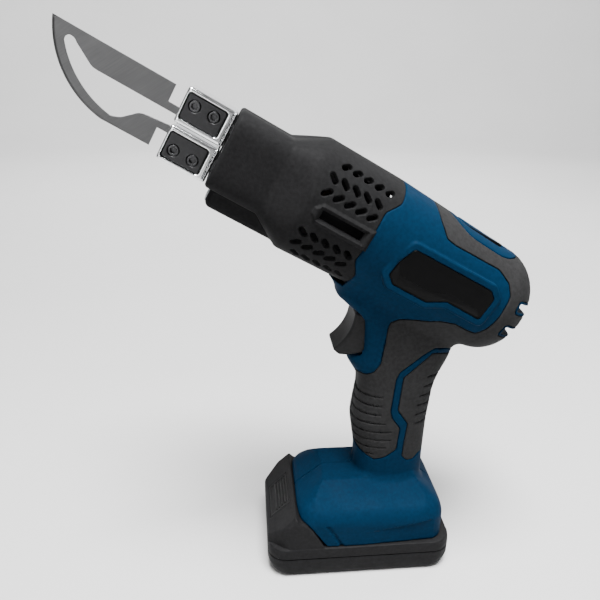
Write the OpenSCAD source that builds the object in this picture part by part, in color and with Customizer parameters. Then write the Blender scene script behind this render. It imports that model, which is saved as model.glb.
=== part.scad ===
// Cordless hot knife: sloping barrel with a clamped loop blade, pistol grip, slide-on battery pack.
// Millimetres. +Z is up, the nose points to -X, and the origin is the middle of the pack's underside.
// The barrel has its own frame: s runs back along its axis, y to the right, h square to the axis, up.

/* [Barrel] */
// Slope of the barrel, nose up, in degrees
barrel_tilt = 29.5; // [27:0.5:32]
// Place of the barrel's reference point along X
barrel_x = -18; // [-21:1:-15]
// Height of the barrel's reference point
barrel_z = 225; // [222:1:230]
// Radius of the vented sleeve
sleeve_r = 32.5; // [31:0.5:35]
// Length of the vented sleeve
sleeve_len = 45; // [42:1:50]
// Length of the sloping shoulder in front of the sleeve
shoulder_len = 18; // [12:1:24]
// Length of the box nose
nose_len = 30; // [26:1:38]
// Width of the box nose
nose_w = 50; // [46:1:56]
// Height of the box nose
nose_h = 43; // [42:1:48]
// Radius of the rear barrel where the dome starts
rear_r = 31; // [30:0.5:33]
// Length of the rear barrel between the sleeve and the dome
rear_len = 80; // [78:1:88]
// Length of the rear dome
dome_len = 25; // [23:1:30]
// Drop of the rear barrel's centre below the axis
rear_drop = 2; // [0:0.5:3]

/* [Blade] */
// Length of the blade from its back edges to the tip
blade_len = 64.5; // [58:0.5:72]
// Height of the straight back edge above the axis
blade_top = 16.5; // [14.5:0.5:18]
// Depth of the straight lower edge below the axis
blade_bottom = 17.3; // [15.5:0.1:19]
// Thickness of the blade
blade_t = 1.2; // [0.8:0.1:1.6]
// Radius of the curved cutting edge
edge_r = 47.4; // [44:0.2:56]
// Height of the two necks that go into the clamps
neck_h = 4.2; // [3.5:0.1:5]
// Free length of the necks in front of the clamps
neck_free = 6.6; // [4:0.2:9]

/* [Clamps] */
// Length of a clamp block
clamp_len = 27; // [25:0.5:31]
// Height of a clamp block
clamp_h = 17; // [16:0.5:19]
// Width of the jaws, with the blade in their middle
clamp_w = 20; // [17:0.5:24]
// Depth of a clamp block behind the blade's middle plane
clamp_far = 20; // [12:0.5:23]
// Gap between the two clamp blocks
clamp_gap = 4.2; // [3:0.2:6]
// Rim of the block round the jaw plate
clamp_rim = 1; // [0.8:0.1:1.6]
// Thickness of the block behind the jaw plate's back end
clamp_end = 4; // [3:0.2:5]
// Spacing of the two screws in a plate
screw_pitch = 10.6; // [9:0.2:12]
// Radius of a clamp screw's head
screw_head_r = 2.9; // [2.4:0.1:3.2]
// Radius of a clamp screw's thread
screw_r = 1.9; // [1.5:0.1:2.1]

/* [Handle] */
// Centre of the handle along X
handle_x = 21; // [19:0.5:23]
// Depth of the handle from front to back
handle_depth = 48; // [46:0.5:52]
// Width of the handle
handle_w = 37; // [35:0.5:40]
// Width of the trigger
trigger_w = 24; // [20:0.5:26]
// Travel of the trigger
trigger_travel = 6; // [4:0.5:7]

/* [Foot] */
// Front end of the foot along X
foot_front = -41; // [-43:0.5:-39]
// Back end of the foot along X
foot_back = 54; // [52:0.5:55]
// Width of the foot
foot_w = 73; // [70:0.5:75]
// Height of the foot above the pack's deck
foot_h = 26; // [25:0.5:29]

/* [Battery pack] */
// Length of the pack
pack_len = 116; // [114:1:122]
// Width of the pack
pack_w = 76; // [75:0.5:80]
// Height of the pack's deck
pack_h = 21; // [20.8:0.2:24]
// Height of the pack's raised front
front_h = 43; // [42:0.25:43.5]
// Wall of the pack's cases
pack_wall = 1.5; // [1.2:0.1:1.6]
// Diameter of a cell
cell_d = 18; // [17.6:0.1:18]
// Length of a cell
cell_len = 65.2; // [64:0.2:66]
// Number of cells in the row
cell_count = 5; // [4:1:5]
// Width of the slide rail's head
rail_w = 48; // [44:1:52]
// Width of the release button
button_w = 30; // [26:1:34]
// Travel of the release button
button_travel = 3; // [2:0.2:3.4]

/* [Fits] */
// Wall of the housing and the front cover
wall = 3; // [2.6:0.1:3.2]
// Thickness of the rubber overmould
skin = 1.5; // [1.2:0.1:1.6]
// Gap between pieces that slide on each other
slide_gap = 0.3; // [0.25:0.05:0.5]
// Gap round pieces that are seated in each other
seat_gap = 0.1; // [0.05:0.05:0.2]
// Radial clearance of the fan shaft in its bearing
bearing_gap = 0.05; // [0.02:0.01:0.1]
// Radius of the housing screws
case_screw_r = 1.5; // [1.2:0.1:1.8]

/* [Hidden] */

big = 400;
eps = 0.01;
ring_points = 24;
round_fn = 32;
small_fn = 16;
vent_fn = 8;

// Stations along the barrel
sleeve_front = -20;
sleeve_back = sleeve_front + sleeve_len;
nose_back = sleeve_front - shoulder_len;
nose_front = nose_back - nose_len;
rear_back = sleeve_back + rear_len;
nose_rise = 1.4;
box_squareness = 5;
shoulder_squareness = 2.5;
barrel_squareness = 2.1;
dome_squareness = 2;
dome_steps = [18, 36, 54, 70, 82];

// Heights of the foot and the handle
foot_z = pack_h + slide_gap;
foot_top = foot_z + foot_h;
neck_z = barrel_z - 41;
handle_front = handle_x - handle_depth / 2;
handle_back = handle_x + handle_depth / 2;

// Sections of the barrel: place along the axis, centre height, half width, half height, squareness
barrel_sections = concat([
    [nose_front, nose_rise, nose_w / 2, nose_h / 2, box_squareness],
    [nose_back, nose_rise, nose_w / 2, nose_h / 2, box_squareness],
    [sleeve_front, 0, sleeve_r, sleeve_r, shoulder_squareness],
    [sleeve_back, 0, sleeve_r, sleeve_r, barrel_squareness],
    [rear_back, -rear_drop, rear_r, rear_r, barrel_squareness]],
    [for (a = dome_steps) [rear_back + dome_len * pow(sin(a), 2 / dome_squareness),
        -rear_drop * (1 + sin(a)), rear_r * pow(cos(a), 2 / dome_squareness),
        rear_r * pow(cos(a), 2 / dome_squareness), barrel_squareness - 0.1 * sin(a)]]);

// Height at a share of the way from the foot's top to the neck
function handle_z(share) = foot_top + share * (neck_z - foot_top);

// Sections of the foot and the handle: height, front, back, half width, squareness
foot_squareness = 6;
handle_sections = [
    [foot_z, foot_front, foot_back, foot_w / 2, foot_squareness],
    [foot_top - 11.5, foot_front, foot_back - 0.5, foot_w / 2 - 0.4, foot_squareness],
    [foot_top - 4.5, foot_front + 0.8, foot_back - 1.6, foot_w / 2 - 1.4, foot_squareness],
    [foot_top - 0.4, foot_front + 3.5, foot_back - 5, foot_w / 2 - 4.8, foot_squareness - 1],
    [foot_top + 2, foot_front + 9, handle_back + 0.7, foot_w / 2 - 9.5, foot_squareness - 2],
    [handle_z(0.03), handle_front - 11, handle_back - 0.8, handle_w / 2 + 3.5, 3],
    [handle_z(0.065), handle_front - 2, handle_back - 1.4, handle_w / 2 + 0.8, 2.7],
    [handle_z(0.11), handle_front + 1.5, handle_back - 1.7, handle_w / 2 - 0.6, 2.6],
    [handle_z(0.165), handle_front + 2.8, handle_back - 1.8, handle_w / 2 - 0.9, 2.6],
    [handle_z(0.34), handle_front - 0.8, handle_back - 0.8, handle_w / 2, 2.6],
    [handle_z(0.51), handle_front + 2.6, handle_back + 1.6, handle_w / 2, 2.6],
    [handle_z(0.56), handle_front + 2, handle_back + 4, handle_w / 2 - 0.2, 2.6],
    [handle_z(0.66), handle_front - 6.4, handle_back + 11, handle_w / 2 - 0.3, 2.8],
    [handle_z(0.91), handle_front - 12, handle_back + 16, handle_w / 2, 3],
    [handle_z(1.05), handle_front - 14.5, handle_back + 16, handle_w / 2, 3]];

// Point of the barrel frame in the side view, as X and Z
function side(s, h) = [barrel_x + s * cos(barrel_tilt) + h * sin(barrel_tilt),
    barrel_z - s * sin(barrel_tilt) + h * cos(barrel_tilt)];

// Outlines in the side view, as X and Z
trigger_z = handle_z(0.775);
notch_outline = [[handle_front - 27, trigger_z + 20], [handle_front - 9, trigger_z + 20],
    [handle_front - 0.5, trigger_z + 14.5], [handle_front + 3.5, trigger_z + 10],
    [handle_front + 3.5, trigger_z - 7], [handle_front, trigger_z - 13],
    [handle_front - 6, trigger_z - 14], [handle_front - 27, trigger_z - 14]];
trigger_top = 14;
trigger_bottom = 13;
trigger_back = handle_front + 7;
trigger_outline = [[handle_front - 5, trigger_z + trigger_top], [trigger_back, trigger_z + trigger_top - 0.4],
    [trigger_back, trigger_z - trigger_bottom + 1.5], [handle_front - 6, trigger_z - trigger_bottom],
    [handle_front - 11, trigger_z - trigger_bottom + 0.6], [handle_front - 15.4, trigger_z - 8]];
trigger_hollow_r = 28.5;
trigger_hollow = [handle_front - 30.5, trigger_z + 14.8];
grip_outline = concat([side(sleeve_back + 21, sleeve_r + 10), side(sleeve_back + 21, sleeve_r - 1.5),
    side(sleeve_back + 25, 24.7), side(sleeve_back + 31, 18.4), side(sleeve_back + 37, 17.6),
    side(rear_back - 13, 17.8), side(rear_back - 5, 14.3), side(rear_back - 0.7, 8.5),
    side(rear_back - 0.2, -5.5), side(rear_back - 1.5, -13), side(rear_back - 4, -18.5),
    side(rear_back - 9, -19.3), side(rear_back - 17, -19.2), side(rear_back - 24.5, -22.3),
    side(rear_back - 29, -26)], [[handle_front + 31, neck_z - 18.5], [handle_front + 22, neck_z - 18.5],
    [handle_front + 17, neck_z - 20.5], [handle_front + 15.7, neck_z - 24],
    [handle_front + 14.7, trigger_z - 3.5], [handle_front + 13, trigger_z - 16],
    [handle_front + 9.5, trigger_z - 22], [handle_front + 5, trigger_z - 24.4],
    [handle_front, trigger_z - 23.5], [handle_front - 20, trigger_z - 24],
    [handle_front - 20, handle_z(0.235)], [handle_front, handle_z(0.225)],
    [handle_front + 5, handle_z(0.19)], [handle_front + 12.3, handle_z(0.163)],
    [handle_front + 19, handle_z(0.178)], [handle_front + 26, handle_z(0.218)],
    [handle_front + 27.3, handle_z(0.333)], [handle_front + 22, handle_z(0.388)],
    [handle_front + 20.9, handle_z(0.42)], [handle_front + 23, handle_z(0.58)],
    [handle_front + 25, handle_z(0.612)], [handle_front + 38, handle_z(0.69)],
    [handle_front + 45, handle_z(0.719)], [handle_front + 52, handle_z(0.709)],
    [handle_front + 66, handle_z(0.655)]], [side(rear_back + dome_len + 12, -sleeve_r - 12),
    side(rear_back + dome_len + 12, sleeve_r + 10)]);
back_grip_outline = [[handle_front + 50.5, handle_z(0.69)], [handle_front + 43.5, handle_z(0.698)],
    [handle_front + 40.5, handle_z(0.676)], [handle_front + 27, handle_z(0.588)],
    [handle_front + 24.9, handle_z(0.425)], [handle_front + 31.5, handle_z(0.354)],
    [handle_front + 29.5, handle_z(0.18)], [handle_front + 33, handle_z(0.155)],
    [handle_front + 37, handle_z(0.153)], [handle_front + 41, handle_z(0.175)],
    [handle_front + 70, handle_z(0.18)], [handle_front + 80, handle_z(0.64)],
    [handle_front + 60, handle_z(0.665)]];
foot_cut = [[-20, 0], [-21, pack_h], [-29.5, pack_h + 12], [-33, pack_h + 15.5],
    [foot_front + 4, pack_h + 17.5], [foot_front + 1.5, pack_h + 20.5], [foot_front, foot_top],
    [foot_front - 60, foot_top], [foot_front - 60, 0]];

// Outlines in the barrel's side view, as s and h
cover_outline = [[nose_front - 10, sleeve_r + 10], [nose_front - 10, -sleeve_r - 0.5],
    [sleeve_back - 0.3, -sleeve_r - 0.5], [sleeve_back - 1.5, -22], [sleeve_back - 7.7, -14],
    [sleeve_back - 7, 15], [sleeve_back, 22.5], [sleeve_back + 0.6, 28], [sleeve_back, sleeve_r + 10]];
badge_outline = [[sleeve_back + 16.5, 6.5], [rear_back - 14, 7], [rear_back - 9.5, 3.5],
    [rear_back - 10.2, -10], [sleeve_back + 47.5, -9.8], [sleeve_back + 37.5, -15.3],
    [sleeve_back + 16, -15.3], [sleeve_back + 11.5, -11.5], [sleeve_back + 12.5, -3]];
badge_rim = 4;
badge_t = 1;
badge_y = sleeve_r - 0.4;

// Top recess, as stations along the axis
top_window_w = 34;
top_window = [rear_back - 46, rear_back - 1];
top_slot_w = 19;
top_slot = [rear_back - 43, rear_back - 7];
top_floor = sleeve_r - 5.7;
top_pad_t = 2.2;
top_island_w = 12.5;
top_rim = (top_slot_w - top_island_w) / 2;
top_island = top_slot + [top_rim, -top_rim];
top_insert_t = 1;

// Lamp box under the nose
lamp_w = 26;
lamp_front = nose_front + 4;
lamp_back = sleeve_front + 4;
lamp_bottom = -29.6;
lamp_corner = 3;
lamp_wall = 2.1;
lens_w = 15;
lens_h = 5.5;
lens_t = 3;
lens_h0 = -25.1;

// Vents: angle above the axis plane, first slot's place, lean
vent_rows = [[46, 10, 40], [30.5, 6, -40], [17, 6, 40], [-24, 5.5, -35], [-36.5, 5.5, 35], [-52, 9, -35]];
vent_count = 5;
vent_pitch = 6.7;
vent_len = 6.4;
vent_w = 3.2;
grille_frame = [34, 10];
grille_slot = [23, 4.3];
grille_h = -1.2;
grille_depth = 2.4;

// Rear air slots: heights above the axis, width, where they start and the wall round them
rear_slots = [5.6, -9.4];
rear_slot_w = 5;
rear_slot_front = rear_back + 8.3;
rear_slot_wall = 1.9;

// Clamps
clamp_standoff = 0.6;
clamp_back = nose_front - clamp_standoff;
clamp_front = clamp_back - clamp_len;
clamp_centre = (clamp_gap + clamp_h) / 2;
plate_front = clamp_front + 0.4;
plate_back = clamp_back - clamp_end;
plate_in = clamp_gap / 2 + clamp_rim;
plate_out = clamp_gap / 2 + clamp_h - clamp_rim;
plate_sunk = 0.6;
screw_h = clamp_centre + 1.6;
screw_s = (plate_front + plate_back) / 2;
screw_head_len = 4;
screw_bite = 6;
socket_across = 1.7;

// Busbars and transformer
bar_h = 4;
bar_w = 12;
bar_centre = 10.6;
core_front = sleeve_front + 12;
core_len = 26;
core_h = 40;
core_w = 32;
leg_h = 10;
yoke_w = 6;
cradle_t = 2;
turn_gap = 0.4;
turn_front = core_front - 6;
turn_back = core_front + core_len + 5;

// Fan
fan_r = rear_r - wall + 0.5;
fan_s = rear_back - 13;
fan_len = 10;
fan_ring = 2.4;
fan_drop = rear_drop;
shaft_r = 1.5;
bearing_r = 3.5;
hub_r = 9;
blade_count = 7;
blade_tip_gap = 0.8;

// Control board
board_t = 1.6;
board_h0 = -12;
board_w = 46;
board_front = sleeve_back + 12;
board_back = fan_s - 6;
sink_base = 3;
fin_h = 12;
fin_count = 6;
fin_t = 1.2;

// Trigger switch
switch_front = trigger_back + trigger_travel + 1.5;
switch_len = 24;
switch_w = 22;
switch_h = 26;
plunger_r = 3;
plunger_fit = 0.15;

// Housing screws: places in the side view, as X and Z
case_screws = [side(sleeve_back + 9, 22), side(board_back - 4, 20), side(board_back - 6, -23),
    [handle_front - 2.5, neck_z - 7], [handle_x, handle_z(0.53)], [handle_x, handle_z(0.23)]];
cover_screw_places = [side(nose_back + 8, 21), side(lamp_front + 10, lens_h0 - 0.2)];
boss_r = 3.8;
boss_web = 1.6;
head_r = 3.2;
head_len = 2.4;
thread_len = 14;
thread_gap = 0.1;

// Battery rail and contacts
rail_neck_w = rail_w - 8;
rail_lip = 5;
rail_h = 12;
rail_front = -30.5;
rail_back = 38;
channel_back = foot_back - 7;
contact_y = [-12, -4, 4, 12];
contact_t = 0.8;
contact_len = 11;
contact_h = 5;
contact_z = foot_z + rail_lip + 2;
contact_slot = 3.6;
board_top = pack_h + 0.5;

// Battery pack
pack_corner = 12;
pack_chamfer = 5;
pack_turn_in = 2.25;
pack_split = pack_h - 7;
cell_pitch = cell_d + 1.4;
pack_end_room = 9;
row_count = min(cell_count, floor((pack_len - 2 * pack_end_room) / cell_pitch));
cell_z = pack_wall + cell_d / 2 + 0.05;
holder_t = 1.2;
holder_depth = 8;
strip_t = 0.3;
strip_pad_r = 5;
strip_hole_r = 6.5;
face_low = [-pack_len / 2, pack_h + 4.3];
face_high = [foot_front + 0.6, front_h - 0.6];
face_w = 54.7;
face_slope = atan2(face_high[1] - face_low[1], face_high[0] - face_low[0]);
face_len = norm(face_high - face_low);
front_wall = 2.4;
button_len = 16;
button_u = face_len / 2 - 0.5;
button_proud = 0.8;
button_flange = 1.5;
button_lip = 1.2;
button_rib_count = 4;
spring_r = 2.6;
spring_wire = 0.6;
spring_turns = 4;
spring_len = button_travel + 2.5;
spring_y = [-8, 8];
pack_screw_x = pack_len / 2 - 5.4;
pack_screw_y = 20;
pack_screw_r = 1.4;
pack_screw_head_r = 2.6;

// Shapes

function squircle(a, b, e) = [for (i = [0:ring_points - 1])
    let (t = 360 * i / ring_points, c = cos(t), d = sin(t))
    [a * sign(c) * pow(abs(c), 2 / e), b * sign(d) * pow(abs(d), 2 / e)]];

// Ring of points of a barrel section, shrunk by an inset
function barrel_ring(section, inset) =
    [for (p = squircle(section[2] - inset, section[3] - inset, section[4]))
        [section[0], p[0], section[1] + p[1]]];

// Ring of points of a handle section, shrunk by an inset
function handle_ring(section, inset) = let (mid = (section[1] + section[2]) / 2,
    half = (section[2] - section[1]) / 2)
    [for (p = squircle(half - inset, section[3] - inset, section[4])) [mid + p[0], p[1], section[0]]];

// Arc from p to q with a given radius, bulging to the left of the way from p to q
function arc_between(p, q, r, steps) = let (m = (p + q) / 2, d = (q - p) / norm(q - p),
    away = sqrt(r * r - pow(norm(q - p) / 2, 2)), c = m + away * [d[1], -d[0]],
    a = atan2(p[1] - c[1], p[0] - c[0]), turn = 2 * asin(norm(q - p) / 2 / r))
    [for (i = [0:steps]) c + r * [cos(a - turn * i / steps), sin(a - turn * i / steps)]];

// Solid skin through rings of points that follow each other along one axis
module loft(rings) {
    n = len(rings[0]);
    last = (len(rings) - 1) * n;
    sides = [for (k = [0:len(rings) - 2], i = [0:n - 1]) let (j = (i + 1) % n, a = k * n, b = a + n)
        each [[a + i, b + i, b + j], [a + i, b + j, a + j]]];
    polyhedron([for (r = rings) each r],
        concat([[for (i = [0:n - 1]) i]], sides, [[for (i = [n - 1:-1:0]) last + i]]));
}

module in_barrel() {
    translate([barrel_x, 0, barrel_z]) rotate([0, barrel_tilt, 0]) children();
}

// Extrudes a side view outline across the whole width
module across(outline) {
    rotate([90, 0, 0]) translate([0, 0, -big / 2]) linear_extrude(big) polygon(outline);
}

// The half of the children on one side: -1 is the left, 1 the right
module half(which) {
    intersection() {
        children();
        translate([-big, which < 0 ? -big : 0, -big]) cube([2 * big, big, 3 * big]);
    }
}

module mirrored(which) {
    mirror([0, which < 0 ? 0 : 1, 0]) children();
}

module bar(low, high) {
    translate(low) cube(high - low);
}

// Outer form of the barrel, shrunk by an inset
module barrel_form(inset) {
    along = (dome_len - inset) / dome_len;
    across = (rear_r - inset) / rear_r;
    sections = [for (i = [0:len(barrel_sections) - 1]) let (b = barrel_sections[i])
        b[0] > rear_back ? [rear_back + (b[0] - rear_back) * along, b[1], b[2] * across + inset,
            b[3] * across + inset, b[4]] : [b[0] + (i == 0 ? inset : 0), b[1], b[2], b[3], b[4]]];
    in_barrel() loft([for (b = sections) barrel_ring(b, inset)]);
}

// Outer form of the foot and the handle, shrunk by an inset
module handle_form(inset) {
    loft([for (b = handle_sections) handle_ring(b, inset)]);
}

module body_form(inset) {
    barrel_form(inset);
    handle_form(inset);
}

// Everything in front of the joint between the front cover and the housing
module cover_region() {
    in_barrel() across(cover_outline);
}

// Blade and clamps

module blade() {
    back = clamp_front - neck_free;
    tip = [back - blade_len, blade_top];
    belly = [back - 26, -blade_bottom];
    band = 4;
    dip = [belly[0] + 3.5, belly[1] + band];
    slot_low = [tip[0] + 9, blade_top - 8.2];
    slot_high = [tip[0] + 10.4, blade_top - 5.3];
    inner_r = edge_r - 0.4;
    hump = -clamp_gap / 2 - 3;
    arm = clamp_gap / 2 + clamp_rim - 0.1;
    shank = plate_back - 1;
    edge = arc_between(belly, tip, edge_r, 20);
    inside = arc_between(dip, slot_low, inner_r, 14);
    points = concat([[shank, arm], [shank, arm + neck_h], [back, arm + neck_h], [back, blade_top]],
        [for (i = [len(edge) - 1:-1:0]) edge[i]],
        [[back + 0.4, -blade_bottom], [back + 0.4, -arm - neck_h], [shank, -arm - neck_h], [shank, -arm],
        [clamp_front, -arm], [back - 10.6, hump], [back - 14.3, hump - 3.8], [back - 17.6, hump - 6.4]],
        inside, [slot_high, [back - 38, arm + 0.9]]);
    color("lightgray") in_barrel() rotate([90, 0, 0]) translate([0, 0, -blade_t / 2])
        linear_extrude(blade_t) polygon(points);
}

module clamp_block(up) {
    in_barrel() mirror([0, 0, up ? 0 : 1]) difference() {
        bar([clamp_front, -clamp_w / 2, clamp_gap / 2], [clamp_back, clamp_far, clamp_gap / 2 + clamp_h]);
        bar([clamp_front - 1, -clamp_w / 2 - 1, plate_in - seat_gap],
            [plate_back + seat_gap, blade_t / 2, plate_out + seat_gap]);
        for (s = [-1, 1]) translate([screw_s + s * screw_pitch / 2, blade_t / 2 - 1, screw_h])
            rotate([-90, 0, 0]) cylinder(r = screw_r + seat_gap / 2, h = screw_bite + 1.5, $fn = round_fn);
    }
}

module upper_clamp_block() { color("gainsboro") clamp_block(true); }
module lower_clamp_block() { color("gainsboro") clamp_block(false); }

module clamp_plate(up) {
    near = -clamp_w / 2 + plate_sunk;
    in_barrel() mirror([0, 0, up ? 0 : 1]) difference() {
        bar([plate_front, near, plate_in], [plate_back, -blade_t / 2, plate_out]);
        for (s = [-1, 1]) translate([screw_s + s * screw_pitch / 2, 0, screw_h]) rotate([90, 0, 0]) {
            cylinder(r = screw_r + 2 * seat_gap, h = clamp_w, $fn = round_fn);
            translate([0, 0, -near - screw_head_len])
                cylinder(r = screw_head_r + 2 * seat_gap, h = clamp_w, $fn = round_fn);
        }
    }
}

module upper_clamp_plate() { color("dimgray") clamp_plate(true); }
module lower_clamp_plate() { color("dimgray") clamp_plate(false); }

module clamp_screws() {
    near = -clamp_w / 2 + plate_sunk;
    color("black") in_barrel() for (up = [-1, 1], s = [-1, 1])
        translate([screw_s + s * screw_pitch / 2, near + screw_head_len, up * screw_h]) rotate([90, 0, 0])
            difference() {
                union() {
                    cylinder(r = screw_head_r, h = screw_head_len - 0.4, $fn = round_fn);
                    translate([0, 0, near + screw_head_len - screw_bite])
                        cylinder(r = screw_r, h = screw_bite - near - screw_head_len, $fn = round_fn);
                }
                translate([0, 0, 1.2]) cylinder(r = socket_across, h = screw_head_len, $fn = 6);
            }
}

// Nose, busbars and transformer

module busbar(up) {
    in_barrel() mirror([0, 0, up ? 0 : 1])
        bar([clamp_back, -bar_w / 2, bar_centre - bar_h / 2],
            [turn_front, bar_w / 2, bar_centre + bar_h / 2]);
}

module upper_busbar() { color("peru") busbar(true); }
module lower_busbar() { color("peru") busbar(false); }

module terminal_insulator() {
    section = [0, nose_rise, nose_w / 2, nose_h / 2, box_squareness];
    ends = [nose_front + wall + seat_gap, nose_back - 2];
    color("beige") difference() {
        in_barrel() loft([for (s = ends) barrel_ring([s, section[1], section[2], section[3], section[4]],
            wall + seat_gap)]);
        for (up = [-1, 1]) in_barrel() bar([nose_front, -bar_w / 2, up * bar_centre - bar_h / 2],
            [nose_back, bar_w / 2, up * bar_centre + bar_h / 2]);
    }
}

module secondary_turn() {
    color("peru") in_barrel() {
        for (up = [-1, 1]) bar([turn_front, -bar_w / 2, up * bar_centre - bar_h / 2],
            [turn_back, bar_w / 2, up * bar_centre + bar_h / 2]);
        bar([turn_back, -bar_w / 2, -bar_centre - bar_h / 2],
            [turn_back + bar_h, bar_w / 2, bar_centre + bar_h / 2]);
    }
}

module transformer_core() {
    window_top = bar_centre + bar_h / 2;
    color("dimgray") in_barrel() difference() {
        bar([core_front, -core_w / 2, -core_h / 2], [core_front + core_len, core_w / 2, core_h / 2]);
        for (up = [-1, 1]) mirror([0, 0, up < 0 ? 1 : 0])
            bar([core_front - 1, -core_w / 2 + yoke_w, leg_h / 2],
                [core_front + core_len + 1, core_w / 2 - yoke_w, window_top]);
    }
}

module primary_winding() {
    outer = bar_centre - bar_h / 2;
    reach = outer - leg_h / 2 - turn_gap;
    wide = core_w / 2 - yoke_w;
    color("darkorange") in_barrel() difference() {
        bar([core_front - reach, -wide, -outer], [core_front + core_len + reach, wide, outer]);
        bar([core_front, -wide - 1, -leg_h / 2], [core_front + core_len, wide + 1, leg_h / 2]);
    }
}

// Front cover

module vent_slot(angle, s, lean) {
    reach = (vent_len - vent_w) / 2;
    rotate([90 - angle, 0, 0]) translate([s, 0, sleeve_r - 2 * wall]) rotate([0, 0, lean]) hull()
        for (d = [-reach, reach]) translate([d, 0, 0]) cylinder(d = vent_w, h = 4 * wall, $fn = vent_fn);
}

module vents() {
    for (row = vent_rows, k = [0:vent_count - 1])
        vent_slot(row[0], sleeve_front + row[1] + k * vent_pitch, row[2]);
}

// Sunk frame and slot of the side grille
module grille() {
    middle = sleeve_front + sleeve_len / 2 - 1.5;
    translate([middle, -sleeve_r, grille_h]) {
        hull() {
            bar([-grille_frame[0] / 2, -2, -grille_frame[1] / 2],
                [grille_frame[0] / 2, 0, grille_frame[1] / 2]);
            bar([-grille_slot[0] / 2 - 1, 0, -grille_slot[1] / 2 - 1],
                [grille_slot[0] / 2 + 1, grille_depth, grille_slot[1] / 2 + 1]);
        }
        bar([-grille_slot[0] / 2, 0, -grille_slot[1] / 2],
            [grille_slot[0] / 2, 3 * wall, grille_slot[1] / 2]);
    }
}

// Box under the nose, shrunk by an inset
module lamp_box(inset) {
    r = lamp_corner;
    hull() for (s = [lamp_front + r, lamp_back - r], y = [-1, 1]) translate([s, y * (lamp_w / 2 - r),
        lamp_bottom + inset]) cylinder(r = r - inset, h = -lamp_bottom - nose_h / 3, $fn = small_fn);
}

module lens_window(gap) {
    bar([lamp_front - 1, -lens_w / 2 - gap, lens_h0 - lens_h / 2 - gap],
        [lamp_front + 2 * wall, lens_w / 2 + gap, lens_h0 + lens_h / 2 + gap]);
}

module busbar_windows(gap) {
    for (up = [-1, 1]) bar([nose_front - 5, -bar_w / 2 - gap, up * bar_centre - bar_h / 2 - gap],
        [nose_front + 2 * wall, bar_w / 2 + gap, up * bar_centre + bar_h / 2 + gap]);
}

// Boss for a screw from the right side, with a web to the wall
module screw_boss(place) {
    translate([place[0], 0, place[1]]) hull() {
        rotate([90, 0, 0]) cylinder(r = boss_r, h = big / 4, center = true, $fn = small_fn);
        bar([-boss_r, -big / 8, -boss_web], [boss_r, big / 8, boss_web]);
    }
}

// Hole for a screw: thread in the left half, shank and sunk head in the right half
module screw_hole(place, face) {
    translate([place[0], 0, place[1]]) rotate([-90, 0, 0]) {
        translate([0, 0, -thread_len / 2])
            cylinder(r = case_screw_r + thread_gap, h = big, $fn = small_fn);
        translate([0, 0, face - head_len]) cylinder(r = head_r + thread_gap, h = big, $fn = small_fn);
    }
}

// Screws along Y at the given places, with their heads' outer faces at the given distances
module screw_set(places, faces) {
    for (i = [0:len(places) - 1]) translate([places[i][0], 0, places[i][1]]) rotate([-90, 0, 0])
        difference() {
            union() {
                translate([0, 0, -thread_len / 2 + 0.2])
                    cylinder(r = case_screw_r, h = thread_len / 2 + faces[i] - head_len, $fn = round_fn);
                translate([0, 0, faces[i] - head_len]) cylinder(r = head_r, h = head_len, $fn = round_fn);
            }
            translate([0, 0, faces[i] - 1.4]) cylinder(r = 1.4, h = 2, $fn = 6);
        }
}

cover_screw_faces = [nose_w / 2 - 7, lamp_w / 2 - 3];

// Corner supports that hold the transformer core
module core_cradle() {
    for (s = [core_front + 3, core_front + core_len - 3 - cradle_t], y = [0, 1], h = [0, 1])
        mirror([0, y, 0]) mirror([0, 0, h]) difference() {
            bar([s, -sleeve_r, core_h / 2 - 6], [s + cradle_t, -core_w / 2 + 5, sleeve_r]);
            bar([s - 1, -core_w / 2 - seat_gap, 0], [s + cradle_t + 1, 0, core_h / 2 + seat_gap]);
        }
}

module cover_inside() {
    difference() {
        union() {
            barrel_form(wall);
            in_barrel() lamp_box(lamp_wall);
        }
        for (p = cover_screw_places) screw_boss(p);
        in_barrel() core_cradle();
    }
}

module front_cover(which) {
    half(which) difference() {
        union() {
            intersection() {
                barrel_form(0);
                cover_region();
            }
            in_barrel() lamp_box(0);
        }
        cover_inside();
        in_barrel() {
            mirrored(which) vents();
            mirrored(which) grille();
            lens_window(seat_gap);
            busbar_windows(2 * seat_gap);
        }
        for (i = [0:len(cover_screw_places) - 1]) screw_hole(cover_screw_places[i], cover_screw_faces[i]);
    }
}

module front_cover_left() { color("#2b2b2d") front_cover(-1); }
module front_cover_right() { color("#2b2b2d") front_cover(1); }
module cover_screws() { color("silver") screw_set(cover_screw_places, cover_screw_faces); }

module lamp_lens() {
    color("white") in_barrel() bar([lamp_front, -lens_w / 2, lens_h0 - lens_h / 2],
        [lamp_front + lens_t, lens_w / 2, lens_h0 + lens_h / 2]);
}

module lamp_board() {
    led = 1.2;
    color("seagreen") in_barrel() {
        bar([lamp_front + lens_t + led, -lens_w / 2, lens_h0 - lens_h / 2],
            [lamp_front + lens_t + led + board_t, lens_w / 2, lens_h0 + lens_h / 2]);
        bar([lamp_front + lens_t, -led, lens_h0 - led], [lamp_front + lens_t + led, led, lens_h0 + led]);
    }
}

// Housing, grips and badges

// Stadium on top of the rear barrel, from a floor height upwards
module top_stadium(ends, width, floor_h) {
    r = width / 2;
    in_barrel() hull() for (s = [ends[0] + r, ends[1] - r]) translate([s, 0, floor_h])
        cylinder(r = r, h = big / 4, $fn = round_fn);
}

// Slot across the rear dome, open to the back, grown on all sides
module rear_slot(h, grow) {
    r = rear_slot_w / 2;
    in_barrel() hull() for (s = [rear_slot_front + r, rear_slot_front + 2 * dome_len])
        translate([s, 0, h]) rotate([90, 0, 0])
            cylinder(r = r + grow, h = big, center = true, $fn = small_fn);
}

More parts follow.
